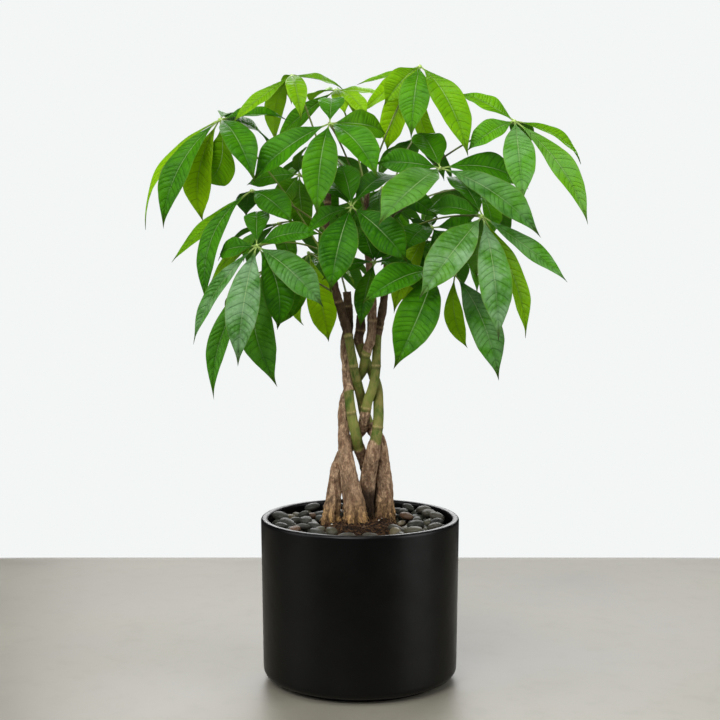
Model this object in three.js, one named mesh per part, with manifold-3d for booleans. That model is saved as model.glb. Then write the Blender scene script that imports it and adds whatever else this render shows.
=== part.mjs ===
// Potted money tree: five braided stems with palmate leaves, in a round black pot
// Millimetres, +Z up, +X to the right, +Y to the back
// The origin is the middle of the pot's flat underside

import * as THREE from 'three';
import { mergeVertices } from 'three/addons/utils/BufferGeometryUtils.js';
import Module from 'manifold-3d';

const wasm = await Module();
wasm.setup();

// Pot
const POT_HEIGHT = 211;
const RIM_RADIUS = 127;
const BASE_RADIUS = 124.5;
const WALL = 9;
const FLOOR = 16;
const LIP_RADIUS = 3.5;
const BOTTOM_CORNER = 11;
const INNER_CORNER = 8;
const FOOT_RADIUS = 106;
const FOOT_HEIGHT = 6;
const POT_SIDES = 36;

// Soil and pebbles
const SOIL_EDGE = 189;
const SOIL_TOP = 204;
const MOUND_RADIUS = 38;
const MOUND_FOOT = 62;
const BED_INNER = 64;
const BED_OUTER = 115;
const BED_DEPTH = 6;
const OPEN_SOIL_HEADING = -88;
const OPEN_SOIL_WIDTH = 46;
const PEBBLE_ROWS = [102, 79];
const PEBBLE_SPACING = 28;
const PEBBLE_LENGTH = 29;
const PEBBLE_WIDTH_SHARE = [0.68, 0.8];
const PEBBLE_THICKNESS_SHARE = [0.42, 0.55];
const PEBBLE_TILT = 0.25;
const PEBBLE_TWIST = 0.5;
const PEBBLE_WALL_SHARE = 0.42;
const PEBBLE_SHIFT = 1.5;
const PEBBLE_RISE = [0.8, 2.5];

// Clearance between pieces that touch
const GAP = 0.3;

// Stems
const STEM_SIDES = 7;
const STEM_STEP = 16;
const STEM_FOOT = 150;

// Leaves
const BLADE_THICKNESS = 1.4;
const STALK_THICKNESS = 2.2;
const STALK_WIDTH = 2.2;
const STALK_SHARE = 0.3;
const BLADE_ARCH = 0.12;
const BLADE_FOLD = 0.12;
const BLADE_STATIONS = [0.14, 0.34, 0.58, 0.82, 1];
const ROOT_START = 3.4;
const BLADE_BASE = 0.07;
const BASE_POWER = 1.25;
const TIP_POWER = 0.95;
const TIP_WIDTH = 0.03;
const HUB_RADIUS = 5;
const LEAF_LEAN = 0.6;
const FAN_COUNT = 6;
const FAN_STEP = 54;
const FAN_DROOP = 38;
const FAN_WIDTH = 0.33;
const FAN_TAPER = 0.0012;
const FAN_LEAN = 0.35;
const FAN_HEADING_PLAY = 6;
const FAN_DROOP_PLAY = 10;
const FAN_LENGTH_PLAY = 0.06;
const PETIOLE_RADIUS = 1.7;
const PETIOLE_SIDES = 5;
const PETIOLE_STEPS = 5;
const PETIOLE_BEND = 0.45;
const PETIOLE_LIFT = 0.16;

const MATERIALS = {
  pot: new THREE.MeshStandardMaterial({ color: '#17181a', roughness: 0.5, metalness: 0 }),
  soil: new THREE.MeshStandardMaterial({ color: '#33231a', roughness: 0.95, metalness: 0 }),
  pebble: new THREE.MeshStandardMaterial({ color: '#45463f', roughness: 0.7, metalness: 0 }),
  stem: new THREE.MeshStandardMaterial({ color: '#84663f', roughness: 0.85, metalness: 0 }),
  leaf: new THREE.MeshStandardMaterial({ color: '#33761f', roughness: 0.5, metalness: 0 }),
  youngLeaf: new THREE.MeshStandardMaterial({ color: '#7fae26', roughness: 0.5, metalness: 0 }),
};

const tree = new THREE.Group();
const degrees = THREE.MathUtils.degToRad;
const vector = (row) => new THREE.Vector3(row[0], row[1], row[2]);

// Random numbers that come out the same every time
function seeded(seed) {
  let state = seed;
  return (low, high) => {
    state = (state * 16807) % 2147483647;
    return low + (high - low) * (state / 2147483647);
  };
}

// A closed solid from a geometry, with its shared corners merged and empty triangles left out
function solid(geometry) {
  const bare = geometry.clone();
  bare.deleteAttribute('normal');
  bare.deleteAttribute('uv');
  const merged = mergeVertices(bare, 1e-4);
  const index = merged.index.array;
  const kept = [];
  for (let i = 0; i < index.length; i += 3) {
    const [a, b, c] = [index[i], index[i + 1], index[i + 2]];
    if (a !== b && b !== c && c !== a) kept.push(a, b, c);
  }
  const vertProperties = new Float32Array(merged.attributes.position.array);
  const triVerts = new Uint32Array(kept);
  return new wasm.Manifold(new wasm.Mesh({ numProp: 3, vertProperties, triVerts }));
}

// The largest body of a solid, without the loose scraps that a cut can leave
function mainBody(shape) {
  const bodies = shape.decompose();
  bodies.sort((a, b) => b.volume() - a.volume());
  return bodies[0];
}

// Adds a solid to the tree as a named piece
function addPiece(name, shape, material) {
  const mesh = shape.getMesh();
  const geometry = new THREE.BufferGeometry();
  geometry.setAttribute('position', new THREE.BufferAttribute(mesh.vertProperties, 3));
  geometry.setIndex(new THREE.BufferAttribute(mesh.triVerts, 1));
  geometry.computeVertexNormals();
  const piece = new THREE.Mesh(geometry, material);
  piece.name = name;
  tree.add(piece);
}

// A profile of [radius, height] points turned round the vertical axis
function turned(profile, sides) {
  const points = profile.map(([radius, height]) => new THREE.Vector2(radius, height));
  return solid(new THREE.LatheGeometry(points, sides).rotateX(Math.PI / 2));
}

// Points of a quarter circle in a profile, from one angle to another
function cornerPoints(x, z, radius, from, to, steps) {
  return Array.from({ length: steps + 1 }, (_, i) => {
    const angle = degrees(from + ((to - from) * i) / steps);
    return [x + radius * Math.cos(angle), z + radius * Math.sin(angle)];
  });
}

// A round tube along a curve, with a radius for each ring and flat ends
function tube(curve, radii, sides) {
  const steps = radii.length - 1;
  const frames = curve.computeFrenetFrames(steps, false);
  const corners = [];
  for (let i = 0; i <= steps; i += 1) {
    const centre = curve.getPointAt(i / steps);
    for (let j = 0; j < sides; j += 1) {
      const angle = (2 * Math.PI * j) / sides;
      const corner = centre.clone();
      corner.addScaledVector(frames.normals[i], radii[i] * Math.cos(angle));
      corner.addScaledVector(frames.binormals[i], radii[i] * Math.sin(angle));
      corners.push(corner);
    }
  }
  return ringsToSolid(corners, sides);
}

// A solid whose skin joins one ring of corners to the next, with a flat cap on the first and last
function ringsToSolid(corners, sides) {
  const rings = corners.length / sides;
  const index = [];
  for (let i = 0; i < rings - 1; i += 1) {
    for (let j = 0; j < sides; j += 1) {
      const a = i * sides + j;
      const b = i * sides + ((j + 1) % sides);
      index.push(a, b, b + sides, a, b + sides, a + sides);
    }
  }
  const last = (rings - 1) * sides;
  for (let j = 1; j < sides - 1; j += 1) {
    index.push(0, j + 1, j);
    index.push(last, last + j, last + j + 1);
  }
  const geometry = new THREE.BufferGeometry().setFromPoints(corners);
  geometry.setIndex(index);
  return solid(geometry);
}

// Pot: a straight-sided shell with a rounded lip, a rounded lower edge and a recessed foot
function potInnerRadius(height) {
  const outer = THREE.MathUtils.mapLinear(height, 0, POT_HEIGHT, BASE_RADIUS, RIM_RADIUS);
  return outer - WALL;
}

function makePot() {
  const cornerX = BASE_RADIUS - BOTTOM_CORNER;
  const innerX = potInnerRadius(FLOOR) - INNER_CORNER;
  const innerRim = RIM_RADIUS - WALL;
  const profile = [
    [0, 0],
    [FOOT_RADIUS, 0],
    [FOOT_RADIUS, FOOT_HEIGHT],
    ...cornerPoints(cornerX, FOOT_HEIGHT + BOTTOM_CORNER, BOTTOM_CORNER, -90, 0, 3),
    ...cornerPoints(RIM_RADIUS - LIP_RADIUS, POT_HEIGHT - LIP_RADIUS, LIP_RADIUS, 0, 90, 2),
    ...cornerPoints(innerRim + LIP_RADIUS, POT_HEIGHT - LIP_RADIUS, LIP_RADIUS, 90, 180, 2),
    ...cornerPoints(innerX, FLOOR + INNER_CORNER, INNER_CORNER, 0, -90, 2),
    [0, FLOOR],
  ];
  addPiece('pot', turned(profile, POT_SIDES), MATERIALS.pot);
}

// Stems: [x, y, z, radius] from the soil upwards, in the order of the braid
const STEMS = {
  a: [
    [-40, 6, STEM_FOOT, 9.5], [-37, 8, 206, 9.6], [-33, 10, 242, 9.2], [-29, 19, 270, 8.7],
    [-21, 26, 288, 8.2], [-12, 30, 300, 7.9], [-4, 29, 312, 7.5], [4, 20, 325, 7.1],
    [6.5, 12, 340, 6.7], [9.5, 10, 357, 6.4], [15, 9, 372, 6.2], [18.5, 9, 385, 6],
    [20, 9, 397, 5.9], [20.8, 10, 406, 5.8], [21.3, 13, 420, 5.6], [22, 20, 436, 5.5],
    [24, 25, 450, 5.4], [28, 27, 470, 5.2], [32, 29, 500, 4.8], [35, 30, 540, 4.3],
    [34, 28, 575, 3.8], [32, 26, 606, 3.2],
  ],
  b: [
    [-3, 3, STEM_FOOT, 13], [-5, 4, 206, 13.8], [-10.5, 2, 242, 12.6], [-15.5, 0, 270, 10.6],
    [-18, 2, 288, 9.4], [-19.3, 4, 300, 8.6], [-20.3, 8, 312, 7.8], [-20.8, 13, 325, 7.2],
    [-21.5, 17, 340, 6.9], [-20, 25, 357, 6.6], [-13, 30, 372, 6.4], [-4, 27, 385, 6.3],
    [3.5, 19, 397, 6.2], [5.5, 13, 406, 6.1], [8, 7, 420, 6.1], [13, 4, 436, 6],
    [14.5, 4, 450, 5.9], [15.8, 6, 470, 5.7], [15, 10, 500, 5.2], [11, 12, 540, 4.7],
    [7, 12, 580, 4.1], [8, 10, 610, 3.7], [10, 9, 636, 3.2],
  ],
  c: [
    [4, 32, STEM_FOOT, 10.5], [6, 29, 206, 10.8], [8.7, 22, 242, 10.3], [12.5, 14, 270, 9.8],
    [16, 8, 288, 9.4], [18, 6, 300, 8.4], [20.6, 5, 312, 7.2], [22.8, 8, 325, 6.9],
    [23.8, 12, 340, 6.8], [23.6, 18, 357, 6.6], [22.8, 25, 372, 6.4], [19, 28, 385, 6.3],
    [14, 32, 397, 6.2], [9, 31, 406, 6.1], [3, 30, 420, 6], [-2, 26, 436, 5.9],
    [0.5, 20, 450, 5.8], [1, 19, 468, 5.6],
  ],
  d: [
    [29, 42, STEM_FOOT, 12.5], [30, 38, 206, 12.8], [31, 34, 242, 11.4], [29.5, 28, 270, 10.2],
    [28, 25, 288, 9.2], [26, 24, 300, 8.8], [21, 25, 312, 8.1], [11, 36, 325, 7.6],
    [6, 34, 340, 7.1], [2.4, 28, 357, 6.6], [-1, 17, 372, 6.2], [-4, 10, 385, 6],
    [-7, 7, 397, 5.9], [-8.5, 6, 406, 5.8], [-11, 5, 420, 5.7], [-13.5, 5, 436, 5.7],
    [-17, 6, 452, 5.7], [-23, 7, 472, 5.6], [-31, 8, 500, 5], [-38, 9, 535, 4.5],
    [-42, 11, 575, 4], [-41, 13, 610, 3.5], [-38, 15, 640, 3.1],
  ],
  e: [
    [10, 54, STEM_FOOT, 9.2], [10, 52, 206, 9.4], [13, 46, 242, 8.8], [8, 36, 270, 8.2],
    [2, 23, 288, 7.7], [-2.5, 14, 300, 7.3], [-4.5, 6, 312, 7], [-7.5, 4, 325, 6.7],
    [-10.5, 5, 340, 6.6], [-13, 7, 357, 6.4], [-14.5, 10, 372, 6.3], [-15.8, 16, 385, 6.2],
    [-16.8, 19, 397, 6.1], [-17.8, 21, 406, 6.1], [-19.5, 22, 420, 6], [-18.5, 24, 436, 6],
    [-15, 25, 452, 5.8], [-14.5, 24, 470, 5.6], [-17, 22, 498, 5.4],
  ],
};

// Each stem grown by the clearance, to cut its hole in what it passes through
const roomForStems = {};

function stemTube(rows, extra) {
  const curve = new THREE.CatmullRomCurve3(rows.map(vector), false, 'centripetal');
  const steps = Math.round(curve.getLength() / STEM_STEP);
  const radii = [];
  for (let i = 0; i <= steps; i += 1) {
    const height = curve.getPointAt(i / steps).z;
    const upper = Math.max(1, rows.findIndex((row) => row[2] >= height - 1e-6));
    const [low, high] = [rows[upper - 1], rows[upper]];
    radii.push(THREE.MathUtils.mapLinear(height, low[2], high[2], low[3], high[3]) + extra);
  }
  return tube(curve, radii, STEM_SIDES);
}

// Where a stem's axis is at a height
function stemPoint(name, height) {
  const rows = STEMS[name];
  const upper = Math.max(1, rows.findIndex((row) => row[2] >= height));
  const [low, high] = [rows[upper - 1], rows[upper]];
  const share = (height - low[2]) / (high[2] - low[2]);
  return vector(low).lerp(vector(high), share);
}

function makeStems() {
  for (const [name, rows] of Object.entries(STEMS)) {
    addPiece(`stem_${name}`, stemTube(rows, 0), MATERIALS.stem);
    roomForStems[name] = stemTube(rows, GAP);
  }
}

// Soil: fills the pot, rises to a low mound in the middle, with a plain hole for each stem
function makeSoil() {
  const floorLevel = FLOOR + GAP;
  const bottomRadius = potInnerRadius(FLOOR) - INNER_CORNER - GAP;
  const cornerLevel = FLOOR + INNER_CORNER;
  const profile = [
    [0, floorLevel],
    [bottomRadius, floorLevel],
    [potInnerRadius(cornerLevel) - 2 * GAP, cornerLevel],
    [potInnerRadius(SOIL_EDGE) - 2 * GAP, SOIL_EDGE],
    [MOUND_FOOT, SOIL_EDGE],
    [(MOUND_FOOT + MOUND_RADIUS) / 2, (SOIL_EDGE + SOIL_TOP) / 2 + 1],
    [MOUND_RADIUS, SOIL_TOP - 1],
    [0, SOIL_TOP],
  ];
  let soil = turned(profile, POT_SIDES);
  for (const stem of Object.values(roomForStems)) soil = soil.subtract(stem);
  addPiece('soil', soil, MATERIALS.soil);
}

// Pebbles: rows of smooth stones round the wall, fused to the layer of stones under them
function makePebbles() {
  const random = seeded(11);
  const half = OPEN_SOIL_WIDTH / 2;
  const start = degrees(OPEN_SOIL_HEADING + half);
  const end = degrees(OPEN_SOIL_HEADING - half + 360);
  const outline = new THREE.Shape();
  outline.absarc(0, 0, BED_OUTER, start, end, false);
  outline.absarc(0, 0, BED_INNER, end, start, true);
  const bed = new THREE.ExtrudeGeometry(outline, {
    depth: BED_DEPTH, bevelEnabled: false, curveSegments: 28,
  });
  bed.translate(0, 0, SOIL_EDGE + GAP);
  const stones = [solid(bed)];
  for (const row of PEBBLE_ROWS) {
    const count = Math.floor(((end - start) * row) / PEBBLE_SPACING);
    for (let i = 0; i < count; i += 1) {
      const angle = start + ((end - start) * (i + 0.5)) / count;
      const length = PEBBLE_LENGTH * random(0.85, 1.1);
      const width = length * random(...PEBBLE_WIDTH_SHARE);
      const thickness = length * random(...PEBBLE_THICKNESS_SHARE);
      const stone = new THREE.IcosahedronGeometry(0.5, 0);
      stone.scale(length, width, thickness);
      stone.rotateY(random(-PEBBLE_TILT, PEBBLE_TILT));
      stone.rotateZ(angle + Math.PI / 2 + random(-PEBBLE_TWIST, PEBBLE_TWIST));
      const furthest = BED_OUTER - length * PEBBLE_WALL_SHARE;
      const radius = Math.min(row + random(-PEBBLE_SHIFT, PEBBLE_SHIFT), furthest);
      const height = SOIL_EDGE + BED_DEPTH + random(...PEBBLE_RISE);
      stone.translate(radius * Math.cos(angle), radius * Math.sin(angle), height);
      stones.push(solid(stone));
    }
  }
  let layer = wasm.Manifold.union(stones);
  for (const stem of Object.values(roomForStems)) layer = layer.subtract(stem);
  addPiece('pebbles', mainBody(layer), MATERIALS.pebble);
}

// Leaves: one row for each leaflet, [right, back, up] from the hub to its tip, then its
// width, how far in degrees its upper face is turned to the front, and how far its middle is
// bent sideways and arched up, as shares of its length
const LEAVES = [
  {
    name: 'leaf_01', stem: 'd', height: 525, hub: [-176, 0, 715], leaflets: [
      [-101, 10, -135, 29, -15, 0, 0.14], [-71, -30, -134, 37, 0, 0.02, 0.12],
      [-28, 40, -129, 40, 15, 0.05, 0.12], [-30, 55, -76, 48, 80, -0.22, 0.12],
      [51, -105, -78, 39, 0, 0, 0.12], [57, 100, -23, 33, 25, 0, 0.08],
      [81, 80, 9, 30, 0, 0, 0.04], [15, 110, -5, 30, 0, 0, 0.12],
    ],
  },
  {
    name: 'leaf_02', stem: 'd', height: 636, young: true, hub: [-87, 30, 772], leaflets: [
      [-72, -50, -60, 25, 0, 0, 0.02], [-28, 100, -77, 30, 0, 0, 0.12],
      [16, -100, -60, 26, 0, 0, 0.12], [66, 50, -10, 23, 0, 0, 0.04],
      [-5, 100, -25, 26, 0, 0, 0.12],
    ],
  },
  {
    name: 'leaf_03', stem: 'b', height: 620, young: true, hub: [-32, 100, 760], leaflets: [
      [-38, 85, -8, 28, 0, 0, 0.06], [80, 45, -10, 28, 0, 0, 0.06],
      [13, -50, -34, 23, 0, 0, 0.12], [42, -60, -40, 26, 0, 0, 0.12],
      [-85, 75, -61, 28, 55, 0, 0.06], [25, 85, -25, 30, 0, 0, 0.12],
    ],
  },
  {
    name: 'leaf_04', stem: 'b', height: 596, hub: [-37, -50, 707], leaflets: [
      [2, 60, 36, 33, 0, 0, 0.12], [-95, -10, -68, 40, 12, 0, 0.09],
      [-14, -80, -111, 42, 0, 0, 0.12], [58, -70, -65, 44, 0, 0, 0.12],
      [71, 50, -9, 40, 40, 0, 0.12], [44, 50, -75, 35, 0, 0, 0.12],
    ],
  },
  {
    name: 'leaf_05', stem: 'b', height: 632, young: true, hub: [76, 20, 783], leaflets: [
      [-80, -20, -22, 17, 0, 0, -0.02], [-46, -30, -50, 33, 20, 0, 0.12],
      [-77, 90, -50, 32, 45, 0, 0], [-43, 30, -105, 38, 20, 0, 0.12],
      [-14, -80, -92, 39, 0, 0, 0.12], [56, -90, -114, 43, 0, -0.015, 0.12],
      [34, 60, -104, 24, 60, 0.2, 0.12],
    ],
  },
  {
    name: 'leaf_06', stem: 'a', height: 602, hub: [191, -30, 711], leaflets: [
      [-65, 40, 39, 32, 0, 0, 0.03], [-60, -20, -36, 33, 20, 0, 0.12],
      [3, -80, -99, 39, 0, 0, 0.12], [87, -50, -124, 39, 0, -0.03, 0.09],
      [91, 40, -49, 25, 10, 0, 0.12], [20, 100, -35, 32, 0, 0, 0.12],
    ],
  },
  {
    name: 'leaf_07', stem: 'a', height: 580, hub: [98, -60, 652], leaflets: [
      [-24, 70, 50, 42, 0, 0, 0.05], [-80, 0, 7, 34, 25, 0, 0.08],
      [-78, -90, -66, 54, 0, -0.05, 0.12], [114, 40, -22, 42, 30, -0.04, 0.12],
      [117, -60, -80, 40, 10, 0, 0.12],
    ],
  },
  {
    name: 'leaf_08', stem: 'a', height: 560, hub: [148, -80, 594], leaflets: [
      [-79, -70, -94, 46, 15, -0.03, 0.12], [15, -70, -144, 40, 0, 0, 0.12],
      [101, -30, -76, 29, 12, -0.02, 0], [-68, 20, 8, 35, 15, 0, 0.12],
      [-36, 80, 52, 35, 0, 0, 0.12], [-1, 75, -76, 38, 0, 0, 0.12],
      [61, 30, -150, 34, 0, -0.02, 0.06],
    ],
  },
  {
    name: 'leaf_09', stem: 'a', height: 505, hub: [119, -20, 521], leaflets: [
      [50, -70, -124, 40, 10, -0.02, 0.12], [26, 96, 16, 32, 0, 0, 0.12],
      [-30, 95, -25, 32, 0, 0, 0.12], [15, -5, -92, 25, 40, 0.05, 0.08],
    ],
  },
  {
    name: 'leaf_10', stem: 'b', height: 500, hub: [90, -90, 530], leaflets: [
      [-51, -70, -112, 49, 10, -0.03, 0.12], [-87, -60, -35, 39, 15, 0, 0.12],
      [26, 60, 22, 32, 0, 0, 0.12],
    ],
  },
  {
    name: 'leaf_11', stem: 'b', height: 560, hub: [-10, -90, 605], leaflets: [
      [-25, -60, -98, 46, 5, 0, 0.12], [67, -30, -65, 42, 20, 0, 0.12],
      [-15, 40, 53, 34, 0, 0, 0.12], [58, 80, 41, 38, 0, 0, 0.12],
      [-57, 30, -35, 32, 20, 0, 0.12], [-38, 70, 29, 34, 0, 0, 0.12],
    ],
  },
  {
    name: 'leaf_12', stem: 'd', height: 545, hub: [-125, -80, 558], leaflets: [
      [-4, 80, 44, 32, 0, 0, 0.12], [78, -20, 16, 32, 20, 0, 0.12],
      [82, -40, -70, 40, 15, 0, 0.12], [-19, -70, -138, 40, 0, 0, 0.12],
      [-77, -30, -115, 25, 0, -0.02, 0.12], [-50, 40, -10, 28, 45, 0, 0.12],
      [-71, 100, -49, 26, 45, 0.09, 0], [25, -10, -101, 38, 10, -0.1, 0.12],
    ],
  },
  {
    name: 'leaf_13', stem: 'd', height: 575, hub: [-136, -10, 626], leaflets: [
      [-101, -20, -86, 29, 0, 0.05, -0.03], [-53, -60, -139, 28, 0, 0.1, 0.12],
      [54, -50, -39, 39, 15, 0, 0.12], [-12, 60, -30, 30, 0, 0, 0.12],
    ],
  },
  {
    name: 'leaf_14', stem: 'a', height: 540, hub: [91, 0, 580], leaflets: [
      [-36, -60, -27, 37, 0, 0, 0.12], [-50, -25, -106, 32, 0, 0, 0.12],
      [70, 70, -20, 42, 20, 0, 0.12], [-10, 100, -10, 35, 0, 0, 0.12],
      [26, -14, -46, 36, 20, 0, 0.12],
    ],
  },
  {
    name: 'leaf_15', stem: 'd', height: 495, hub: [-119, -20, 527], leaflets: [
      [-64, -40, -157, 27, 0, 0.06, 0.12], [19, -70, -138, 45, 0, 0.14, 0.12],
      [-50, 75, -70, 34, 0, 0, 0.12], [32, 25, -62, 38, 35, 0, 0.12],
    ],
  },
  {
    name: 'leaf_16', stem: 'd', height: 515, young: true, hub: [-67, 60, 547], leaflets: [
      [-42, 0, -98, 35, 45, 0, 0.12], [-13, 70, -101, 33, 70, 0, 0.12],
      [26, 10, -118, 37, 20, 0, 0.12], [62, 45, -47, 30, 0, 0, 0.12],
    ],
  },
  {
    name: 'leaf_17', stem: 'c', height: 464, hub: [18, -50, 538], leaflets: [
      [-18, -40, -77, 26, 0, 0, 0.12], [-65, -20, -20, 30, 0, 0, 0.12],
      [50, -35, -15, 30, 0, 0, 0.12], [-14, 5, 40, 28, 20, 0, 0.12],
      [22, 0, 34, 26, 20, 0, 0.12],
    ],
  },
  {
    name: 'leaf_18', stem: 'd', height: 605, hub: [-78, 50, 648], leaflets: [
      [-70, 10, -12, 34, 25, 0, 0.12], [10, -25, -78, 33, 25, 0, 0.12],
      [50, 5, -55, 32, 25, 0, 0.12], [10, -35, 35, 30, 25, 0, 0.12],
      [-30, -10, -46, 30, 25, 0, 0.12],
    ],
  },
  {
    name: 'leaf_19', stem: 'a', height: 568, hub: [29, 49, 631], leaflets: [
      [-58, -21, -64, 32, 25, 0, 0.12], [1, -72, -60, 34, 25, 0, 0.12],
      [72, -21, -39, 32, 25, 0, 0.12], [8, 59, -48, 32, 25, 0, 0.12],
    ],
  },
  {
    name: 'leaf_20', stem: 'a', height: 526, hub: [72, 16, 561], leaflets: [
      [-46, -10, -28, 32, 25, 0, 0.12], [1, -34, -64, 34, 25, 0, 0.12],
      [44, 24, -34, 32, 25, 0, 0.12], [-25, 42, -80, 26, 75, 0, 0.12],
    ],
  },
];

// Leaves on the far side, whose leaflets spread evenly round the hub: the heading is that of
// the leaflet that points away from the stem
const FAR_LEAVES = [
  { name: 'leaf_21', stem: 'b', height: 606, hub: [-45, 140, 680], heading: 80, reach: 105 },
  { name: 'leaf_22', stem: 'a', height: 598, hub: [74, 162, 700], heading: 75, reach: 86 },
  { name: 'leaf_23', stem: 'a', height: 588, hub: [150, 100, 632], heading: 67, reach: 106 },
  { name: 'leaf_24', stem: 'b', height: 580, hub: [20, 195, 620], heading: 85, reach: 115 },
  { name: 'leaf_25', stem: 'd', height: 565, hub: [-110, 130, 585], heading: 157, reach: 100 },
  { name: 'leaf_26', stem: 'a', height: 550, hub: [110, 160, 562], heading: 40, reach: 110 },
  { name: 'leaf_27', stem: 'e', height: 488, hub: [-46, 207, 545], heading: 120, reach: 105 },
];

function fannedLeaflets({ heading, reach }, random) {
  return Array.from({ length: FAN_COUNT }, (_, i) => {
    const offset = (i - (FAN_COUNT - 1) / 2) * FAN_STEP;
    const angle = degrees(heading + offset + random(-FAN_HEADING_PLAY, FAN_HEADING_PLAY));
    const droop = degrees(FAN_DROOP + random(-FAN_DROOP_PLAY, FAN_DROOP_PLAY));
    const play = random(1 - FAN_LENGTH_PLAY, 1 + FAN_LENGTH_PLAY);
    const length = reach * (1 - FAN_TAPER * Math.abs(offset)) * play;
    const flat = length * Math.cos(droop);
    const down = -length * Math.sin(droop);
    const tip = [flat * Math.cos(angle), flat * Math.sin(angle), down];
    return [...tip, length * FAN_WIDTH, 0, 0, BLADE_ARCH];
  });
}

// Half the width of a leaflet at a share of its length, as a share of its full width
function bladeShape(share) {
  const u = Math.max(0, (share - BLADE_BASE) / (1 - BLADE_BASE));
  const peak = BASE_POWER / (BASE_POWER + TIP_POWER);
  const top = peak ** BASE_POWER * (1 - peak) ** TIP_POWER;
  return (0.5 * u ** BASE_POWER * Math.max(0, 1 - u) ** TIP_POWER) / top;
}

// One leaflet: a thin arched blade, folded a little along its rib, from the hub to its tip
function leafletSolid(hub, lean, [right, back, up, width, turn, bend, arch]) {
  const reach = new THREE.Vector3(right, back, up);
  const length = reach.length();
  const along = reach.clone().normalize();
  const upright = new THREE.Vector3(lean[0], lean[1], 1);
  const face = upright.addScaledVector(along, -upright.dot(along)).normalize();
  const side = new THREE.Vector3().crossVectors(along, face);
  const roll = degrees(side.y < 0 ? turn : -turn);
  face.applyAxisAngle(along, roll);
  side.applyAxisAngle(along, roll);
  const corners = [];
  for (const share of [ROOT_START / length, ...BLADE_STATIONS]) {
    const bow = length * 4 * share * (1 - share);
    const slope = Math.atan(arch * 4 * (1 - 2 * share));
    const rib = hub.clone().addScaledVector(reach, share)
      .addScaledVector(face, arch * bow)
      .addScaledVector(side, bend * bow);
    const normal = face.clone().multiplyScalar(Math.cos(slope));
    normal.addScaledVector(along, -Math.sin(slope));
    const least = share < 0.5 ? STALK_WIDTH : TIP_WIDTH * width;
    const half = Math.max(bladeShape(share) * width, least / 2);
    const spread = Math.min(1, share / STALK_SHARE);
    const thickness = THREE.MathUtils.lerp(STALK_THICKNESS, BLADE_THICKNESS, spread);
    const lift = half * BLADE_FOLD;
    const cornerAt = (across, height) => rib.clone()
      .addScaledVector(side, across)
      .addScaledVector(normal, height);
    corners.push(cornerAt(0, thickness / 2), cornerAt(half, lift));
    corners.push(cornerAt(0, -thickness / 2), cornerAt(-half, lift));
  }
  return ringsToSolid(corners, 4);
}

// One leaf: its petiole, hub and leaflets in one body, cut clear of the stem that carries it
function makeLeaf({ name, stem, height, hub, leaflets, young, lean = [0, -LEAF_LEAN] }) {
  const hubPoint = vector(hub);
  const root = stemPoint(stem, height);
  const span = root.distanceTo(hubPoint);
  const middle = root.clone().lerp(hubPoint, PETIOLE_BEND);
  middle.z += PETIOLE_LIFT * span;
  const path = new THREE.QuadraticBezierCurve3(root, middle, hubPoint);
  const radii = Array.from({ length: PETIOLE_STEPS + 1 }, () => PETIOLE_RADIUS);
  const knot = new THREE.IcosahedronGeometry(HUB_RADIUS, 0).translate(...hub);
  const parts = [tube(path, radii, PETIOLE_SIDES), solid(knot)];
  for (const row of leaflets) parts.push(leafletSolid(hubPoint, lean, row));
  let leaf = wasm.Manifold.union(parts);
  for (const carrier of Object.values(roomForStems)) leaf = leaf.subtract(carrier);
  addPiece(name, mainBody(leaf), young ? MATERIALS.youngLeaf : MATERIALS.leaf);
}

function makeLeaves() {
  const random = seeded(5);
  for (const row of LEAVES) makeLeaf(row);
  for (const row of FAR_LEAVES) {
    const heading = degrees(row.heading);
    const lean = [FAN_LEAN * Math.cos(heading), FAN_LEAN * Math.sin(heading)];
    makeLeaf({ ...row, lean, leaflets: fannedLeaflets(row, random) });
  }
}

makePot();
makeStems();
makeSoil();
makePebbles();
makeLeaves();

export default tree;
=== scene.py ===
# %% [markdown]
# # A potted money tree
#
# Five young trunks are braided round each other and carry a crown of drooping leaves. Each leaf
# is a fan of leaflets on one thin stalk. The trunks stand in soil with river pebbles on it, in a
# matte black pot. The imported model holds the place and size of every piece, and this lesson
# gives each piece its fine surface. First the imported model is loaded. Sizes are written in
# millimetres, and `MM` turns them into the metres that the scene is built in.

# %% Load the imported model
import math
import random

import bpy
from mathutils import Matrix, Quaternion, Vector


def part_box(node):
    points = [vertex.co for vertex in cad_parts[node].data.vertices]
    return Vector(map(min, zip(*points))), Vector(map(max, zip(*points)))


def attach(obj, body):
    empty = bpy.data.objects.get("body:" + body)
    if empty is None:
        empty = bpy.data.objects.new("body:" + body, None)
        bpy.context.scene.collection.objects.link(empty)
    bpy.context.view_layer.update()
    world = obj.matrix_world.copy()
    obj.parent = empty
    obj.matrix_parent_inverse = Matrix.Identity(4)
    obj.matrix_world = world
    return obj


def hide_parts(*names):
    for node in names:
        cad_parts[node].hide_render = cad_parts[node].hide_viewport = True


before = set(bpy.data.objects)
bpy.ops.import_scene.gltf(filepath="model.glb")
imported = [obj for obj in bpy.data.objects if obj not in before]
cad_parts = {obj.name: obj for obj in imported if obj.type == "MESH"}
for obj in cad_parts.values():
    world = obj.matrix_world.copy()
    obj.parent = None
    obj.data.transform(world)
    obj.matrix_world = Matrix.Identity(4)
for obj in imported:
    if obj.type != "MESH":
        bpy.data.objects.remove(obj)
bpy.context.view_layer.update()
MM = 0.001
scene = bpy.context.scene
print("packed nodes:", len(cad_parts))

# %% [markdown]
# ## Camera
#
# The picture is taken 1.9 m in front of the pot with a long lens, from the height of the crown
# and tilted down a little. A long lens keeps the crown and the pot in the proportion that they
# have in life.

# %% Place the camera
CAMERA_DISTANCE = 1901 * MM
CAMERA_HEIGHT = 586 * MM
CAMERA_DOWN = 5.22
LENS = 75.0
SENSOR = 36.0

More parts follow.
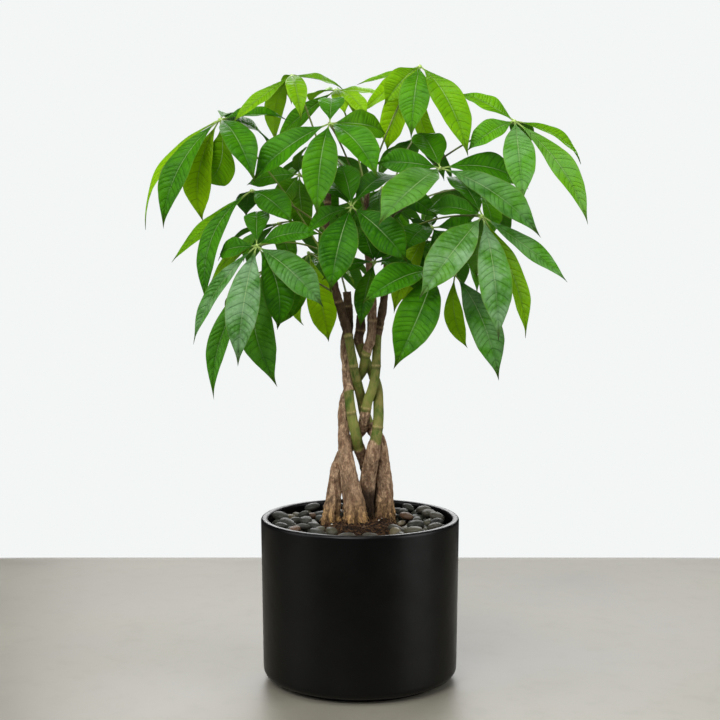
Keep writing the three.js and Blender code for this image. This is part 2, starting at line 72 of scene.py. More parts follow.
camera = bpy.data.objects.new("camera", bpy.data.cameras.new("camera"))
scene.collection.objects.link(camera)
camera.location = (0, -CAMERA_DISTANCE, CAMERA_HEIGHT)
camera.rotation_euler = (math.radians(90 - CAMERA_DOWN), 0, 0)
camera.data.lens = LENS
camera.data.sensor_width = SENSOR
scene.camera = camera
print("camera at", tuple(round(x, 3) for x in camera.location))

# %% [markdown]
# ## Helpers for node trees
#
# Geometry Nodes and materials are both trees of nodes, and both do their sums with Math nodes. A
# formula is easier to read as a formula, so a `Wire` stands for one output of a node, and plain
# arithmetic on it adds the Math nodes and the links.

# %% Wires: outputs that plain arithmetic works on
class Wire:
    """An output of a node. Arithmetic on it adds Math nodes to its tree."""

    def __init__(self, tree, socket):
        self.tree = tree
        self.socket = socket

    def math(self, operation, *others):
        values = dict(enumerate((self, *others)))
        return node(self.tree, "ShaderNodeMath", values, operation=operation)

    def vector(self, operation, *others, output=0):
        values = dict(enumerate((self, *others)))
        return node(self.tree, "ShaderNodeVectorMath", values, output, operation=operation)

    def scaled(self, factor):
        values = {0: self, "Scale": factor}
        return node(self.tree, "ShaderNodeVectorMath", values, operation="SCALE")

    def parts(self):
        """A wire for each of a vector's three numbers."""
        split = node(self.tree, "ShaderNodeSeparateXYZ", {0: self}).socket.node
        return [Wire(self.tree, socket) for socket in split.outputs]

    def smooth(self, low, high):
        """A soft step from 0 at low to 1 at high, where low may be the larger one."""
        limits = {0: self, 1: low, 2: high}
        return node(self.tree, "ShaderNodeMapRange", limits, interpolation_type="SMOOTHSTEP")

    def __add__(self, other):
        return self.math("ADD", other)

    def __sub__(self, other):
        return self.math("SUBTRACT", other)

    def __rsub__(self, other):
        return node(self.tree, "ShaderNodeMath", {0: other, 1: self}, operation="SUBTRACT")

    def __mul__(self, other):
        return self.math("MULTIPLY", other)

    def __truediv__(self, other):
        return self.math("DIVIDE", other)

    __radd__ = __add__
    __rmul__ = __mul__


def plug(tree, value, socket):
    """Links a wire to an input, or sets the input's own value."""
    if isinstance(value, Wire):
        tree.links.new(value.socket, socket)
    else:
        socket.default_value = value


def node(tree, kind, inputs=None, output=0, **settings):
    """Adds a node with these settings and inputs, and gives the wire of one of its outputs."""
    made = tree.nodes.new(kind)
    for name, value in settings.items():
        setattr(made, name, value)
    for name, value in (inputs or {}).items():
        plug(tree, value, made.inputs[name])
    return Wire(tree, made.outputs[output])


def combined(tree, x, y, z):
    """A vector from three numbers."""
    return node(tree, "ShaderNodeCombineXYZ", {0: x, 1: y, 2: z})


print("wires ready")

# %% Trees with named inputs and outputs
FLOAT_INPUT = "NodeSocketFloat"
INTEGER_INPUT = "NodeSocketInt"
MATERIAL_INPUT = "NodeSocketMaterial"
GEOMETRY_INPUT = "NodeSocketGeometry"


def new_tree(name, kind, inputs, outputs):
    """A node group with named sockets: gives the tree, its input wires and its output node."""
    tree = bpy.data.node_groups.new(name, kind)
    for title, (socket_kind, default) in inputs.items():
        socket = tree.interface.new_socket(title, in_out="INPUT", socket_type=socket_kind)
        if default is not None:
            socket.default_value = default
    for title, socket_kind in outputs.items():
        tree.interface.new_socket(title, in_out="OUTPUT", socket_type=socket_kind)
    start = tree.nodes.new("NodeGroupInput")
    given = {socket.name: Wire(tree, socket) for socket in start.outputs if socket.name}
    return tree, given, tree.nodes.new("NodeGroupOutput")


def new_grower(name, inputs):
    """A tree that takes a geometry and these inputs, and gives a geometry."""
    inputs = {"Geometry": (GEOMETRY_INPUT, None), **inputs}
    return new_tree(name, "GeometryNodeTree", inputs, {"Geometry": GEOMETRY_INPUT})


def give(end, results):
    """Links wires to the named outputs of a tree."""
    for title, wire in results.items():
        wire.tree.links.new(wire.socket, end.inputs[title])


print("trees ready")

# %% [markdown]
# Geometry Nodes work here on a guide: a light mesh whose points carry what the tree has to know.
# `grown` runs a tree on a guide and keeps the result as a plain mesh, whose points are already
# where they belong, and `seat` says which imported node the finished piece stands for.

# %% Guides, and pieces grown from them
FLOAT = "FLOAT"
VECTOR = "FLOAT_VECTOR"
CIRCLE_RADIUS = 4


def attribute(tree, name, kind=FLOAT):
    """A named attribute of the guide, read inside its tree."""
    return node(tree, "GeometryNodeInputNamedAttribute", {"Name": name}, data_type=kind)


def stored(tree, geometry, name, value, kind=FLOAT):
    """The geometry with a value kept on its points under a name."""
    inputs = {"Geometry": geometry, "Name": name, "Value": value}
    return node(tree, "GeometryNodeStoreNamedAttribute", inputs, data_type=kind)


def shaded(tree, geometry, material):
    """The geometry, smooth and in one material."""
    smooth = node(tree, "GeometryNodeSetShadeSmooth", {"Geometry": geometry})
    inputs = {"Geometry": smooth, "Material": material}
    return node(tree, "GeometryNodeSetMaterial", inputs)


def joined(tree, *geometries):
    """Several geometries as one."""
    join = tree.nodes.new("GeometryNodeJoinGeometry")
    for geometry in reversed(geometries):
        tree.links.new(geometry.socket, join.inputs[0])
    return Wire(tree, join.outputs[0])


def realized(tree, instances):
    """Instances turned into real faces, which are all that an export keeps."""
    return node(tree, "GeometryNodeRealizeInstances", {"Geometry": instances})


def unit_circle(tree, sides):
    """A circle of radius 1. The node has two radius sockets, so this one goes by number."""
    inputs = {"Resolution": sides, CIRCLE_RADIUS: 1.0}
    return node(tree, "GeometryNodeCurvePrimitiveCircle", inputs)


def swept(tree, guide, profile):
    """A closed tube along the guide's lines, as thick as their radius values."""
    path = node(tree, "GeometryNodeMeshToCurve", {"Mesh": guide})
    return node(tree, "GeometryNodeCurveToMesh", {
        "Curve": path, "Profile Curve": profile, "Scale": attribute(tree, "radius"),
        "Fill Caps": True})


def guide_mesh(name, points, edges=(), faces=(), **attributes):
    """A mesh with a list of values on its points for each named attribute."""
    mesh = bpy.data.meshes.new(name)
    mesh.from_pydata([tuple(point) for point in points], list(edges), list(faces))
    for title, values in attributes.items():
        is_vector = hasattr(values[0], "__len__")
        layer = mesh.attributes.new(title, VECTOR if is_vector else FLOAT, "POINT")
        for place, value in zip(layer.data, values):
            setattr(place, "vector" if is_vector else "value", value)
    return mesh


def grown(name, mesh, tree, **inputs):
    """The plain mesh object that a tree makes from a guide, with the tree's inputs set."""
    guide = bpy.data.objects.new(name + "_guide", mesh)
    scene.collection.objects.link(guide)
    modifier = guide.modifiers.new("grow", "NODES")
    modifier.node_group = tree
    for item in tree.interface.items_tree:
        if item.name.replace(" ", "_") in inputs:
            modifier[item.identifier] = inputs[item.name.replace(" ", "_")]
    bpy.context.view_layer.update()
    evaluated = guide.evaluated_get(bpy.context.evaluated_depsgraph_get())
    result = bpy.data.meshes.new_from_object(evaluated)
    result.name = name
    bpy.data.objects.remove(guide)
    piece = bpy.data.objects.new(name, result)
    scene.collection.objects.link(piece)
    return piece


def seat(piece, slot, *nodes):
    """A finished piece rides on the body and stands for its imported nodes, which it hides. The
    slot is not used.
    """
    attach(piece, "root")
    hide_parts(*nodes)


print("guides ready")

# %% [markdown]
# ## Helpers for materials
#
# Colours are easiest to choose as the eye sees them, so they are written as hex and turned to
# the linear values that a shader works with. A bump turns a height into a normal, which gives a
# surface the relief that is too fine to model.

# %% Colours, bumps and new materials
MIX_SHARE = 0
MIX_FIRST = 6
MIX_SECOND = 7
MIX_RESULT = 2


def colour(code):
    """The linear colour of a hex code such as #33761f."""
    channels = [int(code[i:i + 2], 16) / 255 for i in (1, 3, 5)]
    return [*(((c + 0.055) / 1.055) ** 2.4 if c > 0.04045 else c / 12.92 for c in channels), 1.0]


def mixed(tree, share, first, second):
    """Two colours, as wires or codes, mixed by a share. The node's sockets go by number."""
    first, second = (colour(c) if isinstance(c, str) else c for c in (first, second))
    colours = {MIX_SHARE: share, MIX_FIRST: first, MIX_SECOND: second}
    return node(tree, "ShaderNodeMix", colours, output=MIX_RESULT, data_type="RGBA")


def layered(tree, base, *layers):
    """A colour with more laid over it: each layer is the share that it covers, and its code."""
    for share, code in layers:
        base = mixed(tree, share, base, code)
    return base


def bump(tree, height, distance, normal=None):
    """The normal of a surface that this height raises by at most this distance."""
    inputs = {"Distance": distance, "Height": height}
    if normal is not None:
        inputs["Normal"] = normal
    return node(tree, "ShaderNodeBump", inputs)


def noise(tree, place, scale, detail=3.0, roughness=0.5):
    """Soft random values about a half, with this many lumps to a unit of the place."""
    inputs = {0: place, "Scale": scale, "Detail": detail, "Roughness": roughness}
    return node(tree, "ShaderNodeTexNoise", inputs)


def read(tree, name, output="Fac"):
    """An attribute of the mesh, read inside a material."""
    return node(tree, "ShaderNodeAttribute", output=output, attribute_name=name)


def new_material(name, **constants):
    """A material with its Principled shader, whose unchanging values are set on its sockets."""
    material = bpy.data.materials.new(name)
    material.use_nodes = True
    shader = material.node_tree.nodes["Principled BSDF"]
    for title, value in constants.items():
        shader.inputs[title.replace("_", " ")].default_value = value
    return material, material.node_tree, shader


def dress(shader, tree, results):
    """Links wires to the named inputs of a shader."""
    for title, wire in results.items():
        tree.links.new(wire.socket, shader.inputs[title])


def grouped(tree, group, inputs):
    """A node group placed in a material, as a wire for each of its outputs."""
    placed = tree.nodes.new("ShaderNodeGroup")
    placed.node_tree = group
    for title, value in inputs.items():
        plug(tree, value, placed.inputs[title])
    return {socket.name: Wire(tree, socket) for socket in placed.outputs}


print("material helpers ready")

# %% [markdown]
# Three effects come back in several materials, so each is a node group. `mottle` is a soft
# random mask that can be stretched upright, as bark needs it. `grain` is a fine even height,
# which nearly every surface has. `veins` reads where a point lies on a leaflet, and gives
# its midrib and the groove along it, its side veins and the swell of the blade between them, and
# its base, tip, thin edge and stalk. The midrib, tip, edge and stalk have colours of their own,
# while the groove and the base are masks for painted shade.

# %% The mottle and grain groups
def build_mottle():
    inputs = {
        "Scale": (FLOAT_INPUT, 40.0),
        "Upright stretch": (FLOAT_INPUT, 1.0),
        "Low": (FLOAT_INPUT, 0.35),
        "High": (FLOAT_INPUT, 0.65),
    }
    tree, given, end = new_tree("mottle", "ShaderNodeTree", inputs, {"Mask": FLOAT_INPUT})
    x, y, z = node(tree, "ShaderNodeTexCoord", output="Object").parts()
    place = combined(tree, x, y, z / given["Upright stretch"])
    spread = noise(tree, place, given["Scale"], detail=5.0, roughness=0.6)
    give(end, {"Mask": spread.smooth(given["Low"], given["High"])})
    return tree


def build_grain():
    inputs = {"Scale": (FLOAT_INPUT, 900.0)}
    tree, given, end = new_tree("grain", "ShaderNodeTree", inputs, {"Height": FLOAT_INPUT})
    place = node(tree, "ShaderNodeTexCoord", output="Object")
    give(end, {"Height": noise(tree, place, given["Scale"], detail=2.0)})
    return tree


MOTTLE = build_mottle()
GRAIN = build_grain()


def mottle(tree, scale, stretch=1.0, low=0.35, high=0.65):
    """The mottle's mask. It is 0 where the noise is under low, and 1 where it is over high."""
    inputs = {"Scale": scale, "Upright stretch": stretch, "Low": low, "High": high}
    return grouped(tree, MOTTLE, inputs)["Mask"]


def grain(tree, scale):
    """The grain's height."""
    return grouped(tree, GRAIN, {"Scale": scale})["Height"]


print("groups:", MOTTLE.name, "and", GRAIN.name)

# %% The veins group
VEIN_PAIRS = 17
BLADE_BASE = 0.07


def build_veins():
    inputs = {"Midrib width": (FLOAT_INPUT, 0.05), "Vein width": (FLOAT_INPUT, 0.09)}
    titles = ("Midrib", "Groove", "Veins", "Swell", "Base", "Tip", "Edge", "Stalk")
    outputs = {title: FLOAT_INPUT for title in titles}
    tree, given, end = new_tree("veins", "ShaderNodeTree", inputs, outputs)
    across, row, count = read(tree, "blade", "Vector").parts()
    out = across.math("ABSOLUTE")
    phase = count.math("FRACT")
    nearest = phase.math("MINIMUM", 1.0 - phase)
    inner = out.smooth(1.0, 0.7) * row.smooth(BLADE_BASE, 0.16) * row.smooth(1.0, 0.9)
    give(end, {
        "Midrib": out.smooth(given["Midrib width"], given["Midrib width"] * 0.3) * (
            row.smooth(1.0, 0.1)),
        # Groove and Base are masks for painted shade: along the midrib, and near the hub.
        "Groove": out.smooth(0.2, 0.03) * row.smooth(0.15, 0.6),
        "Veins": nearest.smooth(given["Vein width"], given["Vein width"] * 0.2) * inner,
        "Swell": (phase * math.pi).math("SINE") * out.smooth(0.0, 0.35) * inner,
        "Base": row.smooth(0.5, 0.06),
        "Tip": row.smooth(0.84, 1.0),
        "Edge": out.smooth(0.93, 1.0),
        "Stalk": row.smooth(BLADE_BASE + 0.03, BLADE_BASE - 0.02),
    })
    return tree


VEINS = build_veins()
print("group:", VEINS.name)

# %% [markdown]
# ## Pot
#
# The pot is a thick round shell with a soft matte glaze. A shape that is round about an axis is
# best turned: its profile is drawn once and swept round. The profile has real corner radii at
# the lip, at the lower edge and in the recess above the foot, because those catch the light.

# %% Turn a profile round the vertical axis
def step_up(value, low, high):
    """A soft step from 0 at low to 1 at high, for plain numbers."""
    share = min(1.0, max(0.0, (value - low) / (high - low)))
    return share * share * (3 - 2 * share)


def arc(x, z, radius, start, stop, steps):
    """Points of a part circle in a profile, between two angles in degrees."""
    angles = [math.radians(start + (stop - start) * i / steps) for i in range(steps + 1)]
    return [(x + radius * math.cos(a), z + radius * math.sin(a)) for a in angles]


def turned(name, profile, sides):
    """A closed mesh turned from [radius, height] points in millimetres, axis to axis."""
    rings = profile[1:-1]
    points = [(0, 0, profile[0][1] * MM)]
    for radius, height in rings:
        for j in range(sides):
            angle = 2 * math.pi * j / sides
            across = radius * MM
            points.append((across * math.cos(angle), across * math.sin(angle), height * MM))
    points.append((0, 0, profile[-1][1] * MM))
    last = len(points) - 1
    faces = []
    for j in range(sides):
        k = (j + 1) % sides
        faces.append((0, 1 + k, 1 + j))
        for i in range(len(rings) - 1):
            low, high = 1 + i * sides, 1 + (i + 1) * sides
            faces.append((low + j, low + k, high + k, high + j))
        top = 1 + (len(rings) - 1) * sides
        faces.append((top + j, top + k, last))
    return guide_mesh(name, points, faces=faces)


POT_HEIGHT = (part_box("pot")[1].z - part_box("pot")[0].z) / MM
RIM_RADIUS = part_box("pot")[1].x / MM
BASE_RADIUS = 124.5
WALL = 9.0
POT_FLOOR = 16.0
LIP_RADIUS = 3.8
BOTTOM_CORNER = 11.0
INNER_CORNER = 8.0
FOOT_RADIUS = 106.0
FOOT_HEIGHT = 6.0
FOOT_RING = 14.0
FOOT_HOLLOW = 1.5
FOOT_EDGE = 2.0
FOOT_FILLET = 1.0
POT_SIDES = 160


def wall_radius(height):
    """The outer radius of the pot at a height."""
    return BASE_RADIUS + (RIM_RADIUS - BASE_RADIUS) * height / POT_HEIGHT


print("pot", round(POT_HEIGHT, 1), "mm high and", round(2 * RIM_RADIUS, 1), "mm wide")

# %% The pot and its glaze
def pot_profile():
    """From the hollow under the foot, up the outside, over the lip and down the inside."""
    lip = POT_HEIGHT - LIP_RADIUS
    inner = wall_radius(POT_FLOOR) - WALL - INNER_CORNER
    notch = FOOT_HEIGHT - FOOT_FILLET
    wall = [(wall_radius(h), h) for h in range(30, int(lip), 25)]
    return [
        (0, FOOT_HOLLOW),
        (FOOT_RADIUS - FOOT_RING, FOOT_HOLLOW),
        *arc(FOOT_RADIUS - FOOT_EDGE, FOOT_EDGE, FOOT_EDGE, -90, 0, 4),
        (FOOT_RADIUS, notch),
        *arc(FOOT_RADIUS + FOOT_FILLET, notch, FOOT_FILLET, 180, 90, 3),
        *arc(BASE_RADIUS - BOTTOM_CORNER, FOOT_HEIGHT + BOTTOM_CORNER, BOTTOM_CORNER, -90, 0, 10),
        *wall,
        *arc(RIM_RADIUS - LIP_RADIUS, lip, LIP_RADIUS, 0, 90, 7),
        *arc(RIM_RADIUS - WALL + LIP_RADIUS, lip, LIP_RADIUS, 90, 180, 7),
        *[(radius - WALL, h) for radius, h in reversed(wall)],
        *arc(inner, POT_FLOOR + INNER_CORNER, INNER_CORNER, 0, -90, 5),
        (0, POT_FLOOR),
    ]


def pot_glaze():
    material, tree, shader = new_material("matte black glaze", Specular_IOR_Level=0.2)
    patches = mottle(tree, 22.0, low=0.3, high=0.7)
    base = mixed(tree, patches, "#020202", "#040404")
    specks = mottle(tree, 420.0, low=0.66, high=0.74)
    relief = bump(tree, grain(tree, 1100.0), 0.06 * MM)
    waves = bump(tree, grain(tree, 35.0), 0.5 * MM, relief)
    dress(shader, tree, {
        "Base Color": mixed(tree, specks, base, "#0b0b0a"),
        "Roughness": 0.32 + patches * 0.05,
        "Normal": waves,
    })
    return material


def make_pot():
    mesh = turned("pot_shell", pot_profile(), POT_SIDES)
    mesh.materials.append(pot_glaze())
    mesh.shade_smooth()
    piece = bpy.data.objects.new("pot_shell", mesh)
    scene.collection.objects.link(piece)
    seat(piece, "pot", "pot")
    return len(mesh.polygons)


print("pot faces:", make_pot())

# %% [markdown]
# ## Soil
#
# The soil is dark potting mix, heaped a little round the trunks. A turned mound gives the shape,
# and one tree does the rest: noise lifts the mound's points into crumbs, short bits of bark and
# fibre are scattered on its faces, and a few white grains are dropped between them. The bits are
# instances while the tree works, and become real faces at its end.

# %% The soil's tree
SOIL_EDGE = 189.0
SOIL_TOP = 204.0
MOUND_RADIUS = 34.0
MOUND_FOOT = 66.0
BARE_MIDDLE = 72.0
BARE_LEFT = -52.0
BARE_RIGHT = 62.0
BARE_FRONT = -30.0
BARE_REACH = 114.0
CRUMB_SCALE = 75.0
FINE_CRUMB_SCALE = 320.0
FINE_SHARE = 0.6
FIBRE_RADII = (0.18, 0.5)
GRAIN_RADIUS = 1.3
BIT_SIZES = (0.5, 1.3)
LYING_TILT = 0.4


def scattered(tree, surface, selection, bit, density, seed, lying):
    """Bits spread over the selected faces, turned at random and lying down or tumbled."""
    inputs = {"Mesh": surface, "Selection": selection, "Density": density, "Seed": seed}
    spread = node(tree, "GeometryNodeDistributePointsOnFaces", inputs).socket.node
    points = Wire(tree, spread.outputs["Points"])
    size = random_value(tree, *BIT_SIZES, seed + 1)
    on_points = {"Points": points, "Instance": bit, "Scale": size}
    on_points["Rotation"] = Wire(tree, spread.outputs["Rotation"])
    placed = node(tree, "GeometryNodeInstanceOnPoints", on_points)
    if lying:
        tilt = math.pi / 2 + random_value(tree, -LYING_TILT, LYING_TILT, seed + 2)
    else:
        tilt = random_value(tree, 0, math.pi, seed + 2)
    angles = combined(tree, tilt, 0.0, random_value(tree, 0, 2 * math.pi, seed + 3))
    rotation = node(tree, "FunctionNodeEulerToRotation", {"Euler": angles})
    turn = {"Instances": placed, "Rotation": rotation}
    return node(tree, "GeometryNodeRotateInstances", turn)


def random_value(tree, low, high, seed):
    """A random value between two limits for each point."""
    return node(tree, "FunctionNodeRandomValue", {"Min": low, "Max": high, "Seed": seed}, "Value")


def build_soil_tree():
    inputs = {
        "Crumb height": (FLOAT_INPUT, 3.8 * MM),
        "Fibre length": (FLOAT_INPUT, 7.5 * MM),
        "Fibres per square metre": (FLOAT_INPUT, 1.3e5),
        "Grains per square metre": (FLOAT_INPUT, 2.0e3),
        "Seed": (INTEGER_INPUT, 4),
        "Soil": (MATERIAL_INPUT, None),
        "Fibre": (MATERIAL_INPUT, None),
        "Grain": (MATERIAL_INPUT, None),
    }
    tree, given, end = new_grower("soil with litter", inputs)
    place = node(tree, "GeometryNodeInputPosition")
    fine = noise(tree, place, FINE_CRUMB_SCALE, 2.0)
    crumbs = noise(tree, place, CRUMB_SCALE, 2.0) + fine * FINE_SHARE - (1 + FINE_SHARE) / 2
    x, y, z = place.parts()
    top = z.math("GREATER_THAN", SOIL_EDGE * MM - 0.5 * MM)
    lift = crumbs * 2.0 * given["Crumb height"] * top
    moved = {"Geometry": given["Geometry"], "Offset": combined(tree, 0.0, 0.0, lift)}
    ground = node(tree, "GeometryNodeSetPosition", moved)
    flat = combined(tree, x, y, 0.0).vector("LENGTH", output="Value")
    middle = flat.math("LESS_THAN", BARE_MIDDLE * MM)
    within = x.math("LESS_THAN", BARE_RIGHT * MM) * x.math("GREATER_THAN", BARE_LEFT * MM)
    front = y.math("LESS_THAN", BARE_FRONT * MM) * flat.math("LESS_THAN", BARE_REACH * MM)
    bare = top * (middle + within * front)
    stick = node(tree, "GeometryNodeMeshCone", {
        "Vertices": 5, "Radius Top": FIBRE_RADII[0] * MM, "Radius Bottom": FIBRE_RADII[1] * MM,
        "Depth": given["Fibre length"]})
    crumb = node(tree, "GeometryNodeMeshIcoSphere", {
        "Radius": GRAIN_RADIUS * MM, "Subdivisions": 2})
    fibres = scattered(tree, ground, bare, stick, given["Fibres per square metre"],
                       given["Seed"], True)
    grains = scattered(tree, ground, bare, crumb, given["Grains per square metre"],
                       given["Seed"] + 10, False)
    whole = joined(
        tree,
        shaded(tree, ground, given["Soil"]),
        shaded(tree, realized(tree, fibres), given["Fibre"]),
        shaded(tree, realized(tree, grains), given["Grain"]),
    )
    give(end, {"Geometry": whole})
    return tree


SOIL_TREE = build_soil_tree()
print("soil tree:", len(SOIL_TREE.nodes), "nodes")

# %% The soil's finishes
def soil_finish():
    material, tree, shader = new_material("potting soil", Roughness=0.95, Specular_IOR_Level=0.2)
    coarse = mottle(tree, 160.0)
    fine = mottle(tree, 900.0, low=0.4, high=0.62)
    base = mixed(tree, coarse, "#0f0a06", "#241910")
    dress(shader, tree, {
        "Base Color": mixed(tree, fine * 0.45, base, "#33231a"),
        "Normal": bump(tree, fine + coarse, 0.8 * MM),
    })
    return material


def litter_finish(name, patch_scale, dark, light, grain_scale, relief, **constants):
    """Small bits in patches of two colours, with a fine relief in millimetres."""
    material, tree, shader = new_material(name, Roughness=0.9, **constants)
    patches = mottle(tree, patch_scale)
    dress(shader, tree, {
        "Base Color": mixed(tree, patches, dark, light),
        "Normal": bump(tree, grain(tree, grain_scale), relief * MM),
    })
    return material


print("soil finishes ready")

# %% Make the soil
SOIL_GAP = 0.7
CRUMB_ROOM = 1.5
MOUND_RINGS = 56
MOUND_SIDES = 150


def soil_profile():
    """Up the pot's inside, then over the mound, with points close together on the top."""
    inner = wall_radius(POT_FLOOR) - WALL - INNER_CORNER
    edge = wall_radius(SOIL_EDGE) - WALL - SOIL_GAP
    peak = SOIL_TOP - CRUMB_ROOM
    top = []
    for i in range(MOUND_RINGS):
        radius = edge * (1 - i / MOUND_RINGS)
        rise = step_up(MOUND_FOOT - radius, 0, MOUND_FOOT - MOUND_RADIUS)
        top.append((radius, SOIL_EDGE + (peak - SOIL_EDGE) * rise))
    return [
        (0, POT_FLOOR + SOIL_GAP),
        (inner, POT_FLOOR + SOIL_GAP),
        (wall_radius(POT_FLOOR + INNER_CORNER) - WALL - SOIL_GAP, POT_FLOOR + INNER_CORNER),
        *top,
        (0, peak),
    ]


def make_soil():
    mound = turned("mound", soil_profile(), MOUND_SIDES)
    fibre = litter_finish("bark fibre", 130.0, "#140d09", "#664a30", 2600.0, 0.2,
                          Specular_IOR_Level=0.2)
    grains = litter_finish("white soil grain", 500.0, "#a8a091", "#ddd8cb", 1800.0, 0.3)
    piece = grown("soil_fill", mound, SOIL_TREE, Soil=soil_finish(), Fibre=fibre, Grain=grains)
    seat(piece, "soil", "soil")
    return len(piece.data.polygons)


print("soil faces:", make_soil())

# %% [markdown]
# ## Pebbles
#
# River stones are worn to smooth flat eggs, no two alike. Each one could be modelled, but a rule
# does better: stones are dropped at random places in two layers, a place is kept only if it is
# free, and a tree puts a ball on each place, presses it flat, turns it and dents it with noise.
# The dented ball has few faces, because it comes back a hundred times.

# %% Drop the stones
BED_OUTER = 116.0
BED_INNER = 60.0
STONE_LENGTHS = (18.0, 29.0)
OPEN_SOIL = (-34.0, 44.0)
OPEN_FRONT = -97.0
EDGE_SHARE = 0.85
STONE_SEED = 21
LEVEL_PLAY = 1.5
HEAP_FRONT = 4.5
HEAP_BACK = 8.0
# Each layer has its number of tries, its level, and how near its stones may come.
STONE_LAYERS = ((5000, 4.5, 0.78), (2400, 12.0, 0.92))


def stone_fits(x, y, reach, chosen, closeness):
    """Whether a stone lies in the bed, clear of the bare soil and of its own layer."""
    distance = math.hypot(x, y)
    if distance + reach * EDGE_SHARE > BED_OUTER or distance < BED_INNER:
        return False
    if OPEN_FRONT < y < 0 and OPEN_SOIL[0] < x < OPEN_SOIL[1]:
        return False
    return all(math.hypot(x - a, y - b) > closeness * (reach + r) for a, b, _, r in chosen)


def dropped_stones():
    """Two layers of stones, as [x, y, height, half length] in millimetres."""
    draw = random.Random(STONE_SEED)
    layers = []
    for tries, level, closeness in STONE_LAYERS:
        chosen = []
        for _ in range(tries):
            angle = draw.uniform(0, 2 * math.pi)
            distance = draw.uniform(BED_INNER, BED_OUTER)
            reach = draw.uniform(*STONE_LENGTHS) / 2
            x, y = distance * math.cos(angle), distance * math.sin(angle)
            if stone_fits(x, y, reach, chosen, closeness):
                slope = HEAP_BACK if y > 0 else HEAP_FRONT
                heaped = slope * (distance - BED_INNER) / (BED_OUTER - BED_INNER)
                play = draw.uniform(-LEVEL_PLAY, LEVEL_PLAY)
                height = SOIL_EDGE + level + heaped + play
                chosen.append((x, y, height, reach))
        layers += chosen
    return layers


stones = dropped_stones()
print("stones:", len(stones))

# %% The stones' tree
def build_stone_tree():
    inputs = {
        "Roundness": (INTEGER_INPUT, 4),
        "Dents": (FLOAT_INPUT, 0.16),
        "Stone": (MATERIAL_INPUT, None),
    }
    tree, given, end = new_grower("river stones", inputs)
    ball = node(tree, "GeometryNodeMeshIcoSphere", {
        "Radius": 1.0, "Subdivisions": given["Roundness"]})
    round_place = node(tree, "GeometryNodeInputPosition")
    marked = stored(tree, ball, "on_ball", round_place, VECTOR)
    angles = attribute(tree, "turn", VECTOR)
    rotation = node(tree, "FunctionNodeEulerToRotation", {"Euler": angles})
    placed = node(tree, "GeometryNodeInstanceOnPoints", {
        "Points": given["Geometry"], "Instance": marked, "Rotation": rotation,
        "Scale": attribute(tree, "size", VECTOR)})
    solid = realized(tree, placed)
    own = attribute(tree, "tone") * 40.0
    spot = attribute(tree, "on_ball", VECTOR).vector("ADD", combined(tree, own, own, own))
    dent = (noise(tree, spot, 0.8, 1.0) - 0.5) * given["Dents"]
    centre = attribute(tree, "centre", VECTOR)
    outward = node(tree, "GeometryNodeInputPosition").vector("SUBTRACT", centre)
    moved = {"Geometry": solid, "Offset": outward.scaled(dent * 2.0)}
    dented = node(tree, "GeometryNodeSetPosition", moved)
    give(end, {"Geometry": shaded(tree, dented, given["Stone"])})
    return tree


STONE_TREE = build_stone_tree()
print("stone tree:", len(STONE_TREE.nodes), "nodes")

# %% [markdown]
# Most of the stones are dark grey, and a few are brown, olive or tan. Each stone carries a random
# tone from 0 to 1, and a colour ramp with hard steps turns it into one of these families.

# %% The stones' finish
STONE_FAMILIES = [
    (0.0, "#23241e"), (0.16, "#171815"), (0.32, "#312f26"), (0.46, "#1e1f1a"), (0.60, "#3b392b"),
    (0.70, "#4a3423"), (0.78, "#514933"), (0.86, "#282920"), (0.92, "#6f6550"), (0.97, "#61482f"),
]


def stone_finish():
    material, tree, shader = new_material("river stone", Specular_IOR_Level=0.2)
    ramp = node(tree, "ShaderNodeValToRGB", {0: read(tree, "tone")})
    steps = ramp.socket.node.color_ramp
    steps.interpolation = "CONSTANT"
    for place, code in STONE_FAMILIES:
        step = steps.elements[0] if place == 0 else steps.elements.new(place)
        step.color = colour(code)
    steps.elements.remove(steps.elements[-1])
    cloud = mottle(tree, 110.0, low=0.3, high=0.7)
    pits = mottle(tree, 850.0, low=0.58, high=0.72)
    base = mixed(tree, cloud * 0.1, ramp, "#8f8b80")
    dress(shader, tree, {
        "Base Color": mixed(tree, pits * 0.3, base, "#1d1c1a"),
        "Roughness": 0.4 + cloud * 0.2,
        "Normal": bump(tree, grain(tree, 700.0) - pits * 0.4, 0.25 * MM),
    })
    return material


print("stone families:", len(STONE_FAMILIES))

# %% Make the pebbles
STONE_WIDTHS = (0.6, 0.82)
STONE_DEPTHS = (0.4, 0.54)
STONE_TILT = 0.35
TURN_SEED = 8


def make_pebbles():
    draw = random.Random(TURN_SEED)
    points = [Vector((x, y, z)) * MM for x, y, z, _ in stones]
    sizes = []
    turns = []
    for *_, reach in stones:
        sizes.append([reach * MM, reach * draw.uniform(*STONE_WIDTHS) * MM,
                      reach * draw.uniform(*STONE_DEPTHS) * MM])
        tilts = [draw.uniform(-STONE_TILT, STONE_TILT) for _ in range(2)]
        turns.append([*tilts, draw.uniform(0, math.pi)])
    tones = [draw.random() for _ in stones]
    guide = guide_mesh("stone places", points, size=sizes, turn=turns, tone=tones,
                       centre=[list(point) for point in points])
    piece = grown("pebble_layer", guide, STONE_TREE, Roundness=3, Stone=stone_finish())
    seat(piece, "pebble", "pebbles")
    return len(piece.data.polygons)


print("pebble faces:", make_pebbles())
